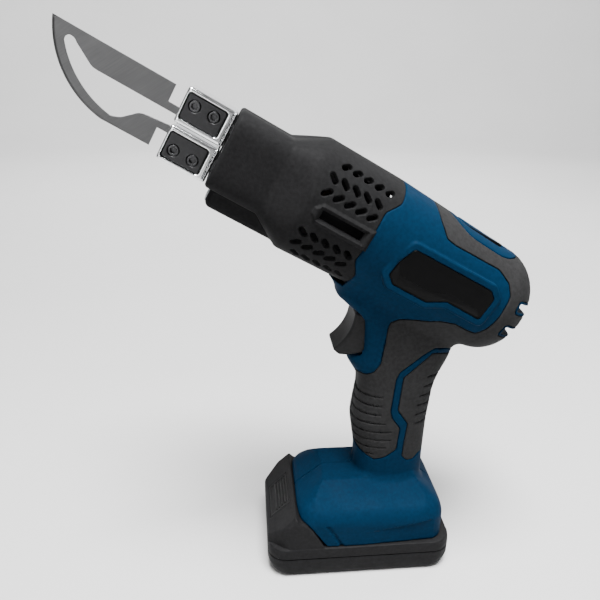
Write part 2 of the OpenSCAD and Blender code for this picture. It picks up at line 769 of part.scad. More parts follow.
module badge_pad(y, grow, depth) {
    in_barrel() translate([0, -y, 0]) rotate([90, 0, 0]) translate([0, 0, -depth])
        linear_extrude(depth) offset(r = grow, $fn = small_fn) polygon(badge_outline);
}

// Region of the main overmould
module grip_region() {
    difference() {
        across(grip_outline);
        top_stadium(top_window, top_window_w, 0);
    }
}

// Layer of the overmould, from its inner face out to a height above the housing's outer form
module grip_layer(proud) {
    difference() {
        body_form(-proud);
        body_form(skin);
    }
}

module badge_room(which) {
    mirrored(which) badge_pad(badge_y + 3, badge_rim, badge_y);
}

// What the overmould takes out of the housing
module grip_pocket(which) {
    difference() {
        intersection() {
            grip_layer(1);
            union() {
                grip_region();
                across(back_grip_outline);
            }
        }
        badge_room(which);
    }
}

// Side view outline, grown by the wall and extruded across the whole width
module walled_across(outline) {
    rotate([90, 0, 0]) translate([0, 0, -big / 2]) linear_extrude(big) offset(r = wall, $fn = small_fn)
        polygon(outline);
}

module trigger_window() {
    bar([handle_front - 10, -trigger_w / 2 - slide_gap, trigger_z - trigger_bottom - 0.4],
        [switch_front, trigger_w / 2 + slide_gap, trigger_z + trigger_top + 0.4]);
}

// Channel for the pack's rail, open to the front
module rail_channel() {
    g = slide_gap;
    low = [foot_front - 20, -rail_neck_w / 2 - g, foot_z - 1];
    bar(low, [channel_back, rail_neck_w / 2 + g, foot_z + rail_lip]);
    bar([low[0], -rail_w / 2 - g, foot_z + rail_lip - g],
        [channel_back, rail_w / 2 + g, foot_z + rail_h + g]);
}

module board_rails() {
    for (y = [-1, 1]) in_barrel() bar([board_front, y < 0 ? -sleeve_r : board_w / 2 - 2, board_h0 - 2.4],
        [board_back, y < 0 ? -board_w / 2 + 2 : sleeve_r, board_h0 + board_t + 2.4]);
}

module switch_pads() {
    for (y = [-1, 1], z = [-8, 8]) translate([switch_front + switch_len / 2, 0, trigger_z + z])
        bar([-switch_len / 3, y < 0 ? -handle_w / 2 : switch_w / 2 + seat_gap, -1.5],
            [switch_len / 3, y < 0 ? -switch_w / 2 - seat_gap : handle_w / 2, 1.5]);
}

case_screw_faces = [sleeve_r - 15.5, rear_r - 14, rear_r - 16, handle_w / 2 - 4.5, handle_w / 2 - 3,
    handle_w / 2 - 3.5];

module housing_inside() {
    difference() {
        union() {
            barrel_form(wall);
            intersection() {
                handle_form(wall);
                translate([-big, -big, foot_z + rail_h + wall]) cube(2 * big);
            }
        }
        for (p = case_screws) screw_boss(p);
        board_rails();
        switch_pads();
        walled_across(notch_outline);
        walled_across(foot_cut);
        for (h = rear_slots) rear_slot(h, rear_slot_wall);
        top_stadium(top_slot + [-2, 2], top_slot_w + 4, top_floor - top_pad_t);
    }
    trigger_window();
}

module housing(which) {
    half(which) difference() {
        union() {
            body_form(0);
            intersection() {
                mirrored(which) badge_pad(badge_y, badge_rim, badge_y / 2);
                barrel_form(-6);
            }
        }
        cover_region();
        housing_inside();
        across(notch_outline);
        across(foot_cut);
        rail_channel();
        grip_pocket(which);
        mirrored(which) badge_pad(badge_y + 1, seat_gap, badge_t + 1);
        difference() {
            top_stadium(top_slot, top_slot_w, top_floor);
            top_stadium(top_island, top_island_w, 0);
        }
        for (h = rear_slots) rear_slot(h, 0);
        for (i = [0:len(case_screws) - 1]) screw_hole(case_screws[i], case_screw_faces[i]);
        in_barrel() bar([board_front - 0.2, -board_w / 2 - seat_gap, board_h0 - seat_gap],
            [board_back + 0.2, board_w / 2 + seat_gap, board_h0 + board_t + seat_gap]);
        in_barrel() translate([fan_s - 1, 0, -fan_drop]) rotate([0, 90, 0])
            cylinder(r = fan_r + seat_gap, h = fan_len + 2, $fn = round_fn * 2);
        terminal_block_room();
    }
}

module housing_left() { color("#123a5e") housing(-1); }
module housing_right() { color("#123a5e") housing(1); }
module housing_screws() { color("silver") screw_set(case_screws, case_screw_faces); }

// Grooves across the front and the back of the handle
front_groove_count = 8;
back_groove_count = 6;

module groove(front, back, z, drop) {
    for (y = [-1, 1]) hull() {
        translate([front, 0, z]) sphere(r = 0.7, $fn = 6);
        translate([front + (back - front) * 0.35, y * handle_w * 0.42, z - drop * 0.7])
            sphere(r = 0.7, $fn = 6);
        translate([back, y * handle_w * 0.52, z - drop]) sphere(r = 0.7, $fn = 6);
    }
}

module grip(which) {
    half(which) difference() {
        intersection() {
            grip_layer(0);
            grip_region();
        }
        badge_room(which);
        for (h = rear_slots) rear_slot(h, 0);
        for (i = [0:front_groove_count - 1]) let (z = handle_z(0.49 - 0.0435 * i))
            groove(handle_front - 0.4, handle_front + 17, z, 0.8);
        for (i = [0:len(case_screws) - 1]) screw_hole(case_screws[i], case_screw_faces[i]);
    }
}

module grip_left() { color("#3c3c3e") grip(-1); }
module grip_right() { color("#3c3c3e") grip(1); }

module back_grip(which) {
    half(which) difference() {
        intersection() {
            grip_layer(0);
            across(back_grip_outline);
        }
        for (i = [0:back_groove_count - 1]) let (z = handle_z(0.582 - 0.0475 * i))
            groove(handle_back + 5.5 - 1.3 * i, handle_back - 9, z, 0.6);
        for (i = [0:len(case_screws) - 1]) screw_hole(case_screws[i], case_screw_faces[i]);
    }
}

module back_grip_left() { color("#3c3c3e") back_grip(-1); }
module back_grip_right() { color("#3c3c3e") back_grip(1); }

module badge(which) {
    mirrored(which) in_barrel() translate([0, -badge_y, 0]) rotate([90, 0, 0]) translate([0, 0, -badge_t])
        linear_extrude(badge_t) polygon(badge_outline);
}

module badge_left() { color("#1c1c1e") badge(-1); }
module badge_right() { color("#1c1c1e") badge(1); }

// Flat stadium along the barrel
module stadium(ends, r, t) {
    for (s = ends) translate([s, 0, 0]) cylinder(r = r, h = t, $fn = round_fn);
    bar([ends[0], -r, 0], [ends[1], r, t]);
}

// Ring in the top slot, round the housing's island
module top_insert() {
    ends = top_slot + [top_slot_w / 2, -top_slot_w / 2];
    color("black") in_barrel() translate([0, 0, top_floor]) difference() {
        stadium(ends, top_slot_w / 2 - seat_gap, top_insert_t);
        translate([0, 0, -1]) stadium(ends, top_island_w / 2 + seat_gap, top_insert_t + 2);
    }
}

// Board, fan and switch

module control_board() {
    color("seagreen") in_barrel() bar([board_front, -board_w / 2, board_h0],
        [board_back, board_w / 2, board_h0 + board_t]);
}

module heat_sink() {
    low = [board_front + 8, -15, board_h0 + board_t];
    high = [board_back - 6, 15, board_h0 + board_t + sink_base];
    pitch = (high[1] - low[1] - fin_t) / (fin_count - 1);
    color("silver") in_barrel() {
        bar(low, high);
        for (i = [0:fin_count - 1]) let (y = low[1] + i * pitch)
            bar([low[0], y, high[2]], [high[0], y + fin_t, high[2] + fin_h]);
    }
}

module at_fan() {
    in_barrel() translate([fan_s, 0, -fan_drop]) rotate([0, 90, 0]) children();
}

module fan_frame() {
    color("#303033") at_fan() difference() {
        union() {
            difference() {
                cylinder(r = fan_r, h = fan_len, $fn = 2 * round_fn);
                translate([0, 0, -1]) cylinder(r = fan_r - fan_ring, h = fan_len + 2, $fn = 2 * round_fn);
            }
            translate([0, 0, fan_len - 2]) {
                cylinder(r = hub_r, h = 2, $fn = round_fn);
                for (a = [0:90:270]) rotate([0, 0, a]) translate([hub_r - 1, -1.2, 0])
                    cube([fan_r - fan_ring / 2 - hub_r + 1, 2.4, 2]);
            }
            translate([0, 0, 3.5]) cylinder(r = bearing_r, h = fan_len - 3.5, $fn = round_fn);
        }
        translate([0, 0, -1]) cylinder(r = shaft_r + bearing_gap, h = fan_len + 2, $fn = round_fn);
    }
}

module fan_rotor() {
    tip_r = fan_r - fan_ring - blade_tip_gap;
    color("#454548") at_fan() {
        cylinder(r = shaft_r, h = fan_len, $fn = round_fn);
        difference() {
            translate([0, 0, 0.6]) cylinder(r = hub_r, h = fan_len - 3.4, $fn = round_fn);
            translate([0, 0, 2.6]) cylinder(r = hub_r - 1.5, h = fan_len, $fn = round_fn);
        }
        intersection() {
            for (i = [0:blade_count - 1]) rotate([0, 0, i * 360 / blade_count])
                translate([hub_r - 1, 0, fan_len / 2 - 1.2]) rotate([38, 0, 0])
                    translate([0, -3.6, -0.6]) cube([fan_r, 7.2, 1.2]);
            difference() {
                translate([0, 0, 0.6]) cylinder(r = tip_r, h = fan_len - 3.4, $fn = 2 * round_fn);
                translate([0, 0, -1]) cylinder(r = hub_r - 0.5, h = fan_len + 2, $fn = round_fn);
            }
        }
    }
}

module trigger() {
    color("#3a3a3c") {
        difference() {
            rotate([90, 0, 0]) translate([0, 0, -trigger_w / 2]) linear_extrude(trigger_w)
                polygon(trigger_outline);
            translate([trigger_hollow[0], 0, trigger_hollow[1]]) rotate([90, 0, 0])
                cylinder(r = trigger_hollow_r, h = 2 * trigger_w, center = true, $fn = 2 * round_fn);
        }
        translate([trigger_back - 1, 0, trigger_z]) rotate([0, 90, 0])
            cylinder(r = plunger_r, h = switch_front - trigger_back + 3, $fn = round_fn);
    }
}

module trigger_switch() {
    color("#262628") translate([switch_front, 0, trigger_z]) difference() {
        bar([0, -switch_w / 2, -switch_h / 2], [switch_len, switch_w / 2, switch_h / 2]);
        translate([-1, 0, 0]) rotate([0, 90, 0])
            cylinder(r = plunger_r + plunger_fit, h = trigger_travel + 4, $fn = round_fn);
    }
}

// Wire along hand-placed points, as one tube
wire_r = 1.4;
wire_sides = 8;

function unit(v) = v / norm(v);

function wire_ring(points, i) = let (last = len(points) - 1, a = points[max(i - 1, 0)],
    b = points[min(i + 1, last)], along = unit(b - a), out = [0, 1, 0], side_way = unit(cross(along, out)),
    up = cross(side_way, along))
    [for (k = [0:wire_sides - 1]) points[i] + wire_r * (cos(360 * k / wire_sides) * side_way
        + sin(360 * k / wire_sides) * up)];

module wire(points) {
    loft([for (i = [0:len(points) - 1]) wire_ring(points, i)]);
}

module wiring() {
    block_top = foot_z + rail_h + slide_gap + 6;
    block_x = block_front + 1.7;
    switch_bottom = trigger_z - switch_h / 2;
    switch_top = trigger_z + switch_h / 2;
    mid = switch_front + switch_len / 2;
    board_point = side(board_front + 14, board_h0);
    for (y = [-5, 5]) color(y < 0 ? "firebrick" : "black") {
        wire([[block_x, y, block_top], [block_x, y, block_top + 3], [34, y, handle_z(0.06)],
            [33, y, handle_z(0.3)], [33, y, handle_z(0.5)], [mid + 6, y, switch_bottom - 6],
            [mid + 6, y, switch_bottom]]);
        wire([[mid, y, switch_top], [mid, y, switch_top + 5],
            [(mid + board_point[0]) / 2, y, (switch_top + board_point[1]) / 2 + 1],
            [board_point[0] - 5 * sin(barrel_tilt), y, board_point[1] - 5 * cos(barrel_tilt)],
            [board_point[0], y, board_point[1]]]);
    }
}

// Contact carrier in the foot, seated on the channel's back wall and roof
block_front = rail_back + 1;

module terminal_block_room() {
    bar([block_front, -rail_w / 2 + 4 - seat_gap, foot_z + rail_lip],
        [channel_back + eps, rail_w / 2 - 4 + seat_gap, foot_z + rail_h + slide_gap + 6 + seat_gap]);
}

module terminal_block() {
    color("#202022") bar([block_front, -rail_w / 2 + 4, foot_z + rail_lip + 0.5],
        [channel_back, rail_w / 2 - 4, foot_z + rail_h + slide_gap + 6]);
}

module terminal_blades() {
    color("goldenrod") for (y = contact_y)
        bar([block_front - contact_len, y - contact_t / 2, contact_z],
            [block_front, y + contact_t / 2, contact_z + contact_h]);
}

// Battery pack

// Plan outline of the pack with round corners, grown or shrunk
module pack_plan(grow, h) {
    r = pack_corner;
    x = pack_len / 2 + grow - r;
    y = pack_w / 2 + grow - r;
    hull() for (a = [-x, x], b = [-y, y]) translate([a, b, 0]) cylinder(r = r, h = h, $fn = round_fn);
}

// Outer form of the pack below its deck, with a turned-in bottom edge
module pack_form() {
    hull() {
        pack_plan(-pack_turn_in, eps);
        translate([0, 0, pack_chamfer]) pack_plan(0, pack_h - pack_chamfer - 1);
        translate([0, 0, pack_h - eps]) pack_plan(-0.6, eps);
    }
}

// Room for the cells and the holder
module pack_inside() {
    long = row_count * cell_pitch + 1;
    wide = cell_len + 2 * (holder_t + strip_t) + 1.4;
    bar([-long / 2, -wide / 2, pack_wall], [long / 2, wide / 2, pack_wall + cell_d + 0.1]);
}

module at_pack_screws() {
    for (x = [-1, 1], y = [-1, 1]) translate([x * pack_screw_x, y * pack_screw_y, 0]) children();
}

module pack_screw_holes() {
    at_pack_screws() {
        translate([0, 0, -1]) cylinder(r = pack_screw_head_r + seat_gap, h = 3, $fn = round_fn);
        cylinder(r = pack_screw_r + seat_gap, h = pack_split + 4, $fn = round_fn);
    }
}

module battery_case_lower() {
    color("#2a2a2c") difference() {
        intersection() {
            pack_form();
            bar([-pack_len, -pack_w, -1], [pack_len, pack_w, pack_split]);
        }
        pack_inside();
        pack_screw_holes();
    }
}

// Side profile of everything behind the slanted face
function face_side(inset, low) = let (n = [sin(face_slope), -cos(face_slope)] * inset,
    far = face_low + n + 3 * (face_high - face_low))
    [[face_low[0] + inset, low], [face_low[0] + inset, face_low[1] - inset * 0.4], far, [far[0], low]];

// Side profile of everything in front of the cut front of the foot
function cut_side(inset, low) = let (back = 2 * slide_gap + inset)
    concat([[face_low[0] - 20, low - 1], [face_low[0] - 20, foot_top]],
    [for (i = [6:-1:2]) foot_cut[i] + [-back, -inset]], [[foot_cut[1][0] - back, low - 1]]);

// Raised front of the pack, with its corners cut back towards the slanted face
module front_form(inset) {
    corner = pack_w / 2 - face_w / 2;
    wide = pack_w / 2 - 0.8 - inset;
    low = pack_h - 1 + (inset > 0 ? 1.5 : 0);
    intersection() {
        across(face_side(inset, low));
        across(cut_side(inset, low));
        translate([0, 0, pack_h - 1]) linear_extrude(big / 8) polygon([
            [face_low[0] + inset, -face_w / 2 + inset * 0.4], [face_low[0] + corner * 1.2, -wide], [0, -wide],
            [0, wide], [face_low[0] + corner * 1.2, wide], [face_low[0] + inset, face_w / 2 - inset * 0.4]]);
    }
}

// Frame of the slanted face: x runs up the slope, z out of the face
module on_face() {
    translate([face_low[0], 0, face_low[1]]) rotate([0, -face_slope, 0]) children();
}

module button_window(gap, depth) {
    on_face() bar([button_u - button_len / 2 - gap, -button_w / 2 - gap, -depth],
        [button_u + button_len / 2 + gap, button_w / 2 + gap, 5]);
}

spring_top = -front_wall - slide_gap - button_flange;

module spring_seats() {
    on_face() for (y = spring_y) translate([button_u, y, spring_top - spring_len - 12])
        cylinder(r = spring_r + 1, h = 12, $fn = round_fn);
}

module rail() {
    g = slide_gap;
    difference() {
        union() {
            bar([rail_front - 0.5, -rail_neck_w / 2, pack_h - 1],
                [rail_back, rail_neck_w / 2, pack_h + rail_lip + 1]);
            bar([rail_front, -rail_w / 2, pack_h + rail_lip + g], [rail_back, rail_w / 2, pack_h + rail_h]);
        }
        for (y = contact_y) bar([rail_back - contact_len - 3, y - contact_slot / 2, contact_z - 1.5],
            [rail_back + 1, y + contact_slot / 2, pack_h + rail_h + 1]);
    }
}

// Hollow of the rail, open to the cells, with shoulders above the board
module rail_hollow() {
    ends = [rail_front + 6, rail_back - contact_len - 4];
    wide = rail_neck_w / 2 - 2.2;
    bar([ends[0], -wide, pack_h - 2], [ends[1], wide, board_top]);
    bar([ends[0], -wide + 2.5, pack_h - 2], [ends[1], wide - 2.5, pack_h + rail_h - 2]);
}

module battery_case_upper() {
    color("#2a2a2c") difference() {
        union() {
            intersection() {
                pack_form();
                bar([-pack_len, -pack_w, pack_split], [pack_len, pack_w, pack_h]);
            }
            difference() {
                front_form(0);
                difference() {
                    front_form(front_wall);
                    spring_seats();
                }
                button_window(slide_gap, front_wall + 2);
            }
            rail();
        }
        rail_hollow();
        pack_inside();
        pack_screw_holes();
    }
}

module release_button() {
    rib_pitch = button_len / (button_rib_count + 1);
    color("#38383a") on_face() {
        bar([button_u - button_len / 2, -button_w / 2, spring_top],
            [button_u + button_len / 2, button_w / 2, 0]);
        bar([button_u - button_len / 2 - button_lip, -button_w / 2 - button_lip, spring_top],
            [button_u + button_len / 2, button_w / 2 + button_lip, spring_top + button_flange]);
        for (i = [1:button_rib_count]) let (u = button_u - button_len / 2 + i * rib_pitch)
            bar([u - 0.8, -button_w / 2 + 2, -1], [u + 0.8, button_w / 2 - 2, button_proud]);
    }
}

function coil_point(t, y) = let (a = 360 * spring_turns * t)
    [button_u + (spring_r - spring_wire / 2) * cos(a), y + (spring_r - spring_wire / 2) * sin(a),
    spring_top - spring_wire / 2 - t * (spring_len - spring_wire)];

module latch_springs() {
    steps = spring_turns * 8;
    ring = 6;
    r = spring_wire / 2 - 0.02;
    color("silver") on_face() for (y = spring_y)
        loft([for (i = [0:steps]) let (p = coil_point(i / steps, y), a = 360 * spring_turns * i / steps,
            out = [cos(a), sin(a), 0])
            [for (k = [0:ring - 1]) p + r * (cos(360 * k / ring) * out - sin(360 * k / ring) * [0, 0, 1])]]);
}

module cell_row() {
    for (i = [0:row_count - 1]) translate([(i - (row_count - 1) / 2) * cell_pitch, 0, cell_z]) children();
}

module battery_cells() {
    color("mediumseagreen") cell_row() rotate([90, 0, 0])
        cylinder(d = cell_d, h = cell_len, center = true, $fn = 2 * round_fn);
}

module cell_holder() {
    long = row_count * cell_pitch;
    back = cell_len / 2 + seat_gap;
    color("ivory") for (y = [-1, 1]) mirror([0, y < 0 ? 0 : 1, 0]) difference() {
        bar([-long / 2, -back - holder_t, pack_wall + 0.05],
            [long / 2, -back + holder_depth, pack_wall + cell_d]);
        cell_row() rotate([90, 0, 0]) {
            translate([0, 0, -big / 2])
                cylinder(d = cell_d + 2 * seat_gap, h = big / 2 + back, $fn = 2 * round_fn);
            cylinder(r = strip_hole_r, h = big, $fn = round_fn);
        }
        bar([-long / 2 - 1, -back + 0.5, pack_wall + cell_d * 0.97], [long / 2 + 1, 0, pack_h]);
    }
}

module nickel_strips() {
    outer = cell_len / 2 + seat_gap + holder_t;
    long = (row_count - 1) * cell_pitch + 2 * strip_pad_r;
    color("silver") for (y = [-1, 1]) mirror([0, y < 0 ? 0 : 1, 0]) {
        bar([-long / 2, -outer - strip_t, cell_z - 3], [long / 2, -outer, cell_z + 3]);
        cell_row() rotate([90, 0, 0]) translate([0, 0, cell_len / 2])
            cylinder(r = strip_pad_r, h = outer + strip_t - cell_len / 2, $fn = round_fn);
    }
}

module battery_board() {
    wide = rail_neck_w / 2 - 2.2 - seat_gap;
    color("seagreen") bar([rail_front + 8, -wide, board_top - board_t],
        [rail_back - contact_len - 5, wide, board_top]);
}

module battery_terminals() {
    leaf = 0.5;
    gap = 0.4;
    color("goldenrod") for (y = contact_y) {
        for (d = [-1, 1]) translate([0, y + d * (contact_t / 2 + gap + leaf / 2), 0])
            bar([rail_back - contact_len - 1, -leaf / 2, contact_z - 1.5],
                [rail_back - 2, leaf / 2, contact_z + contact_h - 1]);
        bar([rail_back - contact_len - 2.6, y - contact_t / 2 - gap - leaf, contact_z - 1.5],
            [rail_back - contact_len - 1, y + contact_t / 2 + gap + leaf, contact_z + contact_h - 1]);
    }
}

module battery_screws() {
    color("silver") at_pack_screws() translate([0, 0, 0.4])
        difference() {
            union() {
                cylinder(r = pack_screw_head_r, h = 1.6, $fn = round_fn);
                cylinder(r = pack_screw_r, h = pack_split + 3, $fn = round_fn);
            }
            translate([0, 0, -1]) cylinder(r = 1.2, h = 1.8, $fn = 6);
        }
}

blade();
upper_clamp_block();
lower_clamp_block();
upper_clamp_plate();
lower_clamp_plate();
clamp_screws();
terminal_insulator();
upper_busbar();
lower_busbar();
secondary_turn();
transformer_core();
primary_winding();
front_cover_left();
front_cover_right();
cover_screws();
lamp_lens();
lamp_board();
housing_left();
housing_right();
housing_screws();
grip_left();
grip_right();
back_grip_left();
back_grip_right();
badge_left();
badge_right();
top_insert();
control_board();
heat_sink();
fan_frame();
fan_rotor();
trigger();
trigger_switch();
wiring();
terminal_block();
terminal_blades();
battery_case_lower();
battery_case_upper();
battery_cells();
cell_holder();
nickel_strips();
battery_board();
battery_terminals();
release_button();
latch_springs();
battery_screws();
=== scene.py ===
import functools
import math

import bmesh
import bpy
import numpy as np
from mathutils import Matrix, Vector


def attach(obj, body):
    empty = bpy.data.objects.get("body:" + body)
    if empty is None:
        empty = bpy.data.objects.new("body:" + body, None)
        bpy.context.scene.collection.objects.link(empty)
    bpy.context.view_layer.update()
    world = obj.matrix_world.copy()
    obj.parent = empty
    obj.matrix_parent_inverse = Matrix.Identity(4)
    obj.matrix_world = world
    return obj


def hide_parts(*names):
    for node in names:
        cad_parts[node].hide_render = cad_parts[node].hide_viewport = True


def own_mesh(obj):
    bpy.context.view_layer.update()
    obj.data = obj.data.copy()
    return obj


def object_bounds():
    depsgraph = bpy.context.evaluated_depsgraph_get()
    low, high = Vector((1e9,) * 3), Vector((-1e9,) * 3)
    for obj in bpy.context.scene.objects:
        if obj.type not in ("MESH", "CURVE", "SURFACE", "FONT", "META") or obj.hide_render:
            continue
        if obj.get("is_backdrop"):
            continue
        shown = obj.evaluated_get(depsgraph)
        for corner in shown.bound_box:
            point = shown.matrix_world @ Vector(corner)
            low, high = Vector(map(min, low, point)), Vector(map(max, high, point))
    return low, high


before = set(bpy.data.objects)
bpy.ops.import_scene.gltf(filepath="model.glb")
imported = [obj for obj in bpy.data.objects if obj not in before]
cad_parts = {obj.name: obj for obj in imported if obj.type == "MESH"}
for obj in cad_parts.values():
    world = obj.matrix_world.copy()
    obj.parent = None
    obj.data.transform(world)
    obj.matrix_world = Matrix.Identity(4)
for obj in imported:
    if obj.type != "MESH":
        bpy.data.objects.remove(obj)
cad_low, cad_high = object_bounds()

# Shapes are worked out in millimetres and stored in metres.
# x runs back, y to the tool's right, z up; s runs back along the barrel's axis and h stands square to it.
MM = 0.001
TILT = math.radians(29.5)
SIN, COS = math.sin(TILT), math.cos(TILT)
BARREL_X, BARREL_Z = -18.0, 225.0

# Stations along the barrel
NOSE_FRONT, NOSE_BACK = -68.0, -38.0
SLEEVE_FRONT, SLEEVE_BACK = -20.0, 25.0
REAR_BACK, DOME_LEN = 105.0, 25.0
SLEEVE_R, REAR_R, REAR_DROP = 32.5, 31.0, 2.0
DOME_SQUARENESS = 2.0

# Heights of the foot's underside, the handle's end in the barrel and the trigger's plunger
FOOT_Z, HANDLE_TOP, TRIGGER_Z = 21.3, 190.8, 153.2

# Walls, the rubber's thickness, the halves' seam and the groove round the rubber
WALL, SKIN, SEAM, GROOVE = 3.0, 1.5, 0.08, 0.3


# Distance fields: each function gives a distance in millimetres, negative inside the shape

def round_max(a, b, r):
    """What lies in both shapes, with their meeting edge rounded to radius r."""
    u = np.maximum(a + r, 0.0)
    v = np.maximum(b + r, 0.0)
    return np.minimum(np.maximum(a, b), -r) + np.sqrt(u * u + v * v)


def round_min(a, b, r):
    """What lies in either shape, with the corner between them filled to radius r."""
    return -round_max(-a, -b, r)


def meet(*fields):
    """What lies in all of the shapes."""
    return functools.reduce(np.maximum, fields)


def join(*fields):
    """What lies in any of the shapes."""
    return functools.reduce(np.minimum, fields)


def squircle(u, v, a, b, e):
    """Rounded square section with half sizes a and b and squareness e."""
    u = np.abs(u) + 1e-6
    v = np.abs(v) + 1e-6
    share = ((u / a) ** e + (v / b) ** e) ** (1.0 / e)
    return np.sqrt(u * u + v * v) * (1.0 - 1.0 / share)


def rounded_box(point, low, high, r):
    """Box between two corners with all its edges rounded to radius r."""
    q = [np.abs(p - (a + b) / 2) - (b - a) / 2 + r for p, a, b in zip(point, low, high)]
    outside = np.sqrt(sum(np.maximum(v, 0.0) ** 2 for v in q))
    return outside + np.minimum(np.maximum.reduce(q), 0.0) - r


def capsule(u, v, reach, r):
    """Slot with round ends, along u, with its ends' centres at plus and minus reach."""
    return np.hypot(np.maximum(np.abs(u) - reach, 0.0), v) - r


def slab(point, half):
    """Sharp box round the origin with given half sizes, endless along a measure that is left out."""
    return np.maximum.reduce([np.abs(p) - a for p, a in zip(point, half)])


def soften(table, axis, width):
    """Moving average along one axis of a table, twice, with its ends kept straight."""
    for _ in range(2):
        pad = [(0, 0)] * table.ndim
        pad[axis] = (width, width)
        wide = np.pad(table, pad, mode="reflect", reflect_type="odd")
        n = table.shape[axis]
        table = sum(np.take(wide, range(k, k + n), axis) for k in range(2 * width + 1)) / (2 * width + 1)
    return table


class Profile:
    """Sizes that change along an axis: straight between their stations, then smoothed."""

    PITCH = 0.25

    def __init__(self, rows, smooth):
        rows = np.array(rows, float)
        self.start = rows[0, 0]
        at = np.arange(rows[0, 0], rows[-1, 0], self.PITCH)
        table = np.stack([np.interp(at, rows[:, 0], col) for col in rows[:, 1:].T], 1)
        self.table = soften(table, 0, max(1, round(smooth / self.PITCH)))

    def __call__(self, at):
        place = np.clip((at - self.start) / self.PITCH, 0.0, len(self.table) - 1.001)
        k = place.astype(int)
        part = (place - k)[:, None]
        rows = self.table[k] * (1.0 - part) + self.table[k + 1] * part
        return rows.T


class Outline:
    """Closed outline in a plane with softened corners, kept as a grid of distances."""

    PITCH = 0.5
    MARGIN = 14.0

    def __init__(self, points, smooth=1.0):
        points = np.array(points, float)
        self.low = points.min(0) - self.MARGIN
        span = np.ceil((points.max(0) + self.MARGIN - self.low) / self.PITCH).astype(int)
        u, v = np.meshgrid(*[a + self.PITCH * np.arange(n) for a, n in zip(self.low, span)], indexing="ij")
        nearest = np.full(u.shape, np.inf)
        inside = np.zeros(u.shape, bool)
        for a, b in zip(points, np.roll(points, -1, 0)):
            edge = b - a
            du, dv = u - a[0], v - a[1]
            along = np.clip((du * edge[0] + dv * edge[1]) / (edge @ edge), 0.0, 1.0)
            nearest = np.minimum(nearest, (du - along * edge[0]) ** 2 + (dv - along * edge[1]) ** 2)
            if edge[1] != 0:
                inside ^= ((a[1] <= v) != (b[1] <= v)) & (du < dv * edge[0] / edge[1])
        self.table = np.sqrt(nearest) * np.where(inside, -1.0, 1.0)
        for axis in (0, 1):
            self.table = soften(self.table, axis, max(1, round(smooth / self.PITCH)))

    def __call__(self, u, v):
        spans = self.table.shape
        i = np.clip((u - self.low[0]) / self.PITCH, 0.0, spans[0] - 1.001)
        j = np.clip((v - self.low[1]) / self.PITCH, 0.0, spans[1] - 1.001)
        a, b = i.astype(int), j.astype(int)
        i, j = i - a, j - b
        t = self.table
        return ((t[a, b] * (1 - i) + t[a + 1, b] * i) * (1 - j)
                + (t[a, b + 1] * (1 - i) + t[a + 1, b + 1] * i) * j)


def side(s, h):
    """Side view point, as x and z, of a place along the barrel and a height above its axis."""
    return (BARREL_X + s * COS + h * SIN, BARREL_Z - s * SIN + h * COS)


def in_barrel(x, z):
    """Place along the barrel's axis and height above it."""
    dx, dz = x - BARREL_X, z - BARREL_Z
    return dx * COS - dz * SIN, dx * SIN + dz * COS


# Surfaces: a field becomes a closed mesh of quads

BLOCK = 4
REACH = 1.5
CHUNK = 300000


def sample(field, points):
    """Field's values at many points, a share at a time."""
    return np.concatenate([field(*points[k:k + CHUNK].T) for k in range(0, len(points), CHUNK)])


def slopes(field, points, values, e=0.04):
    """Gradient of a field at points where its values are known."""
    steps = np.eye(3) * e
    return np.stack([(sample(field, points + d) - values) / e for d in steps], 1)


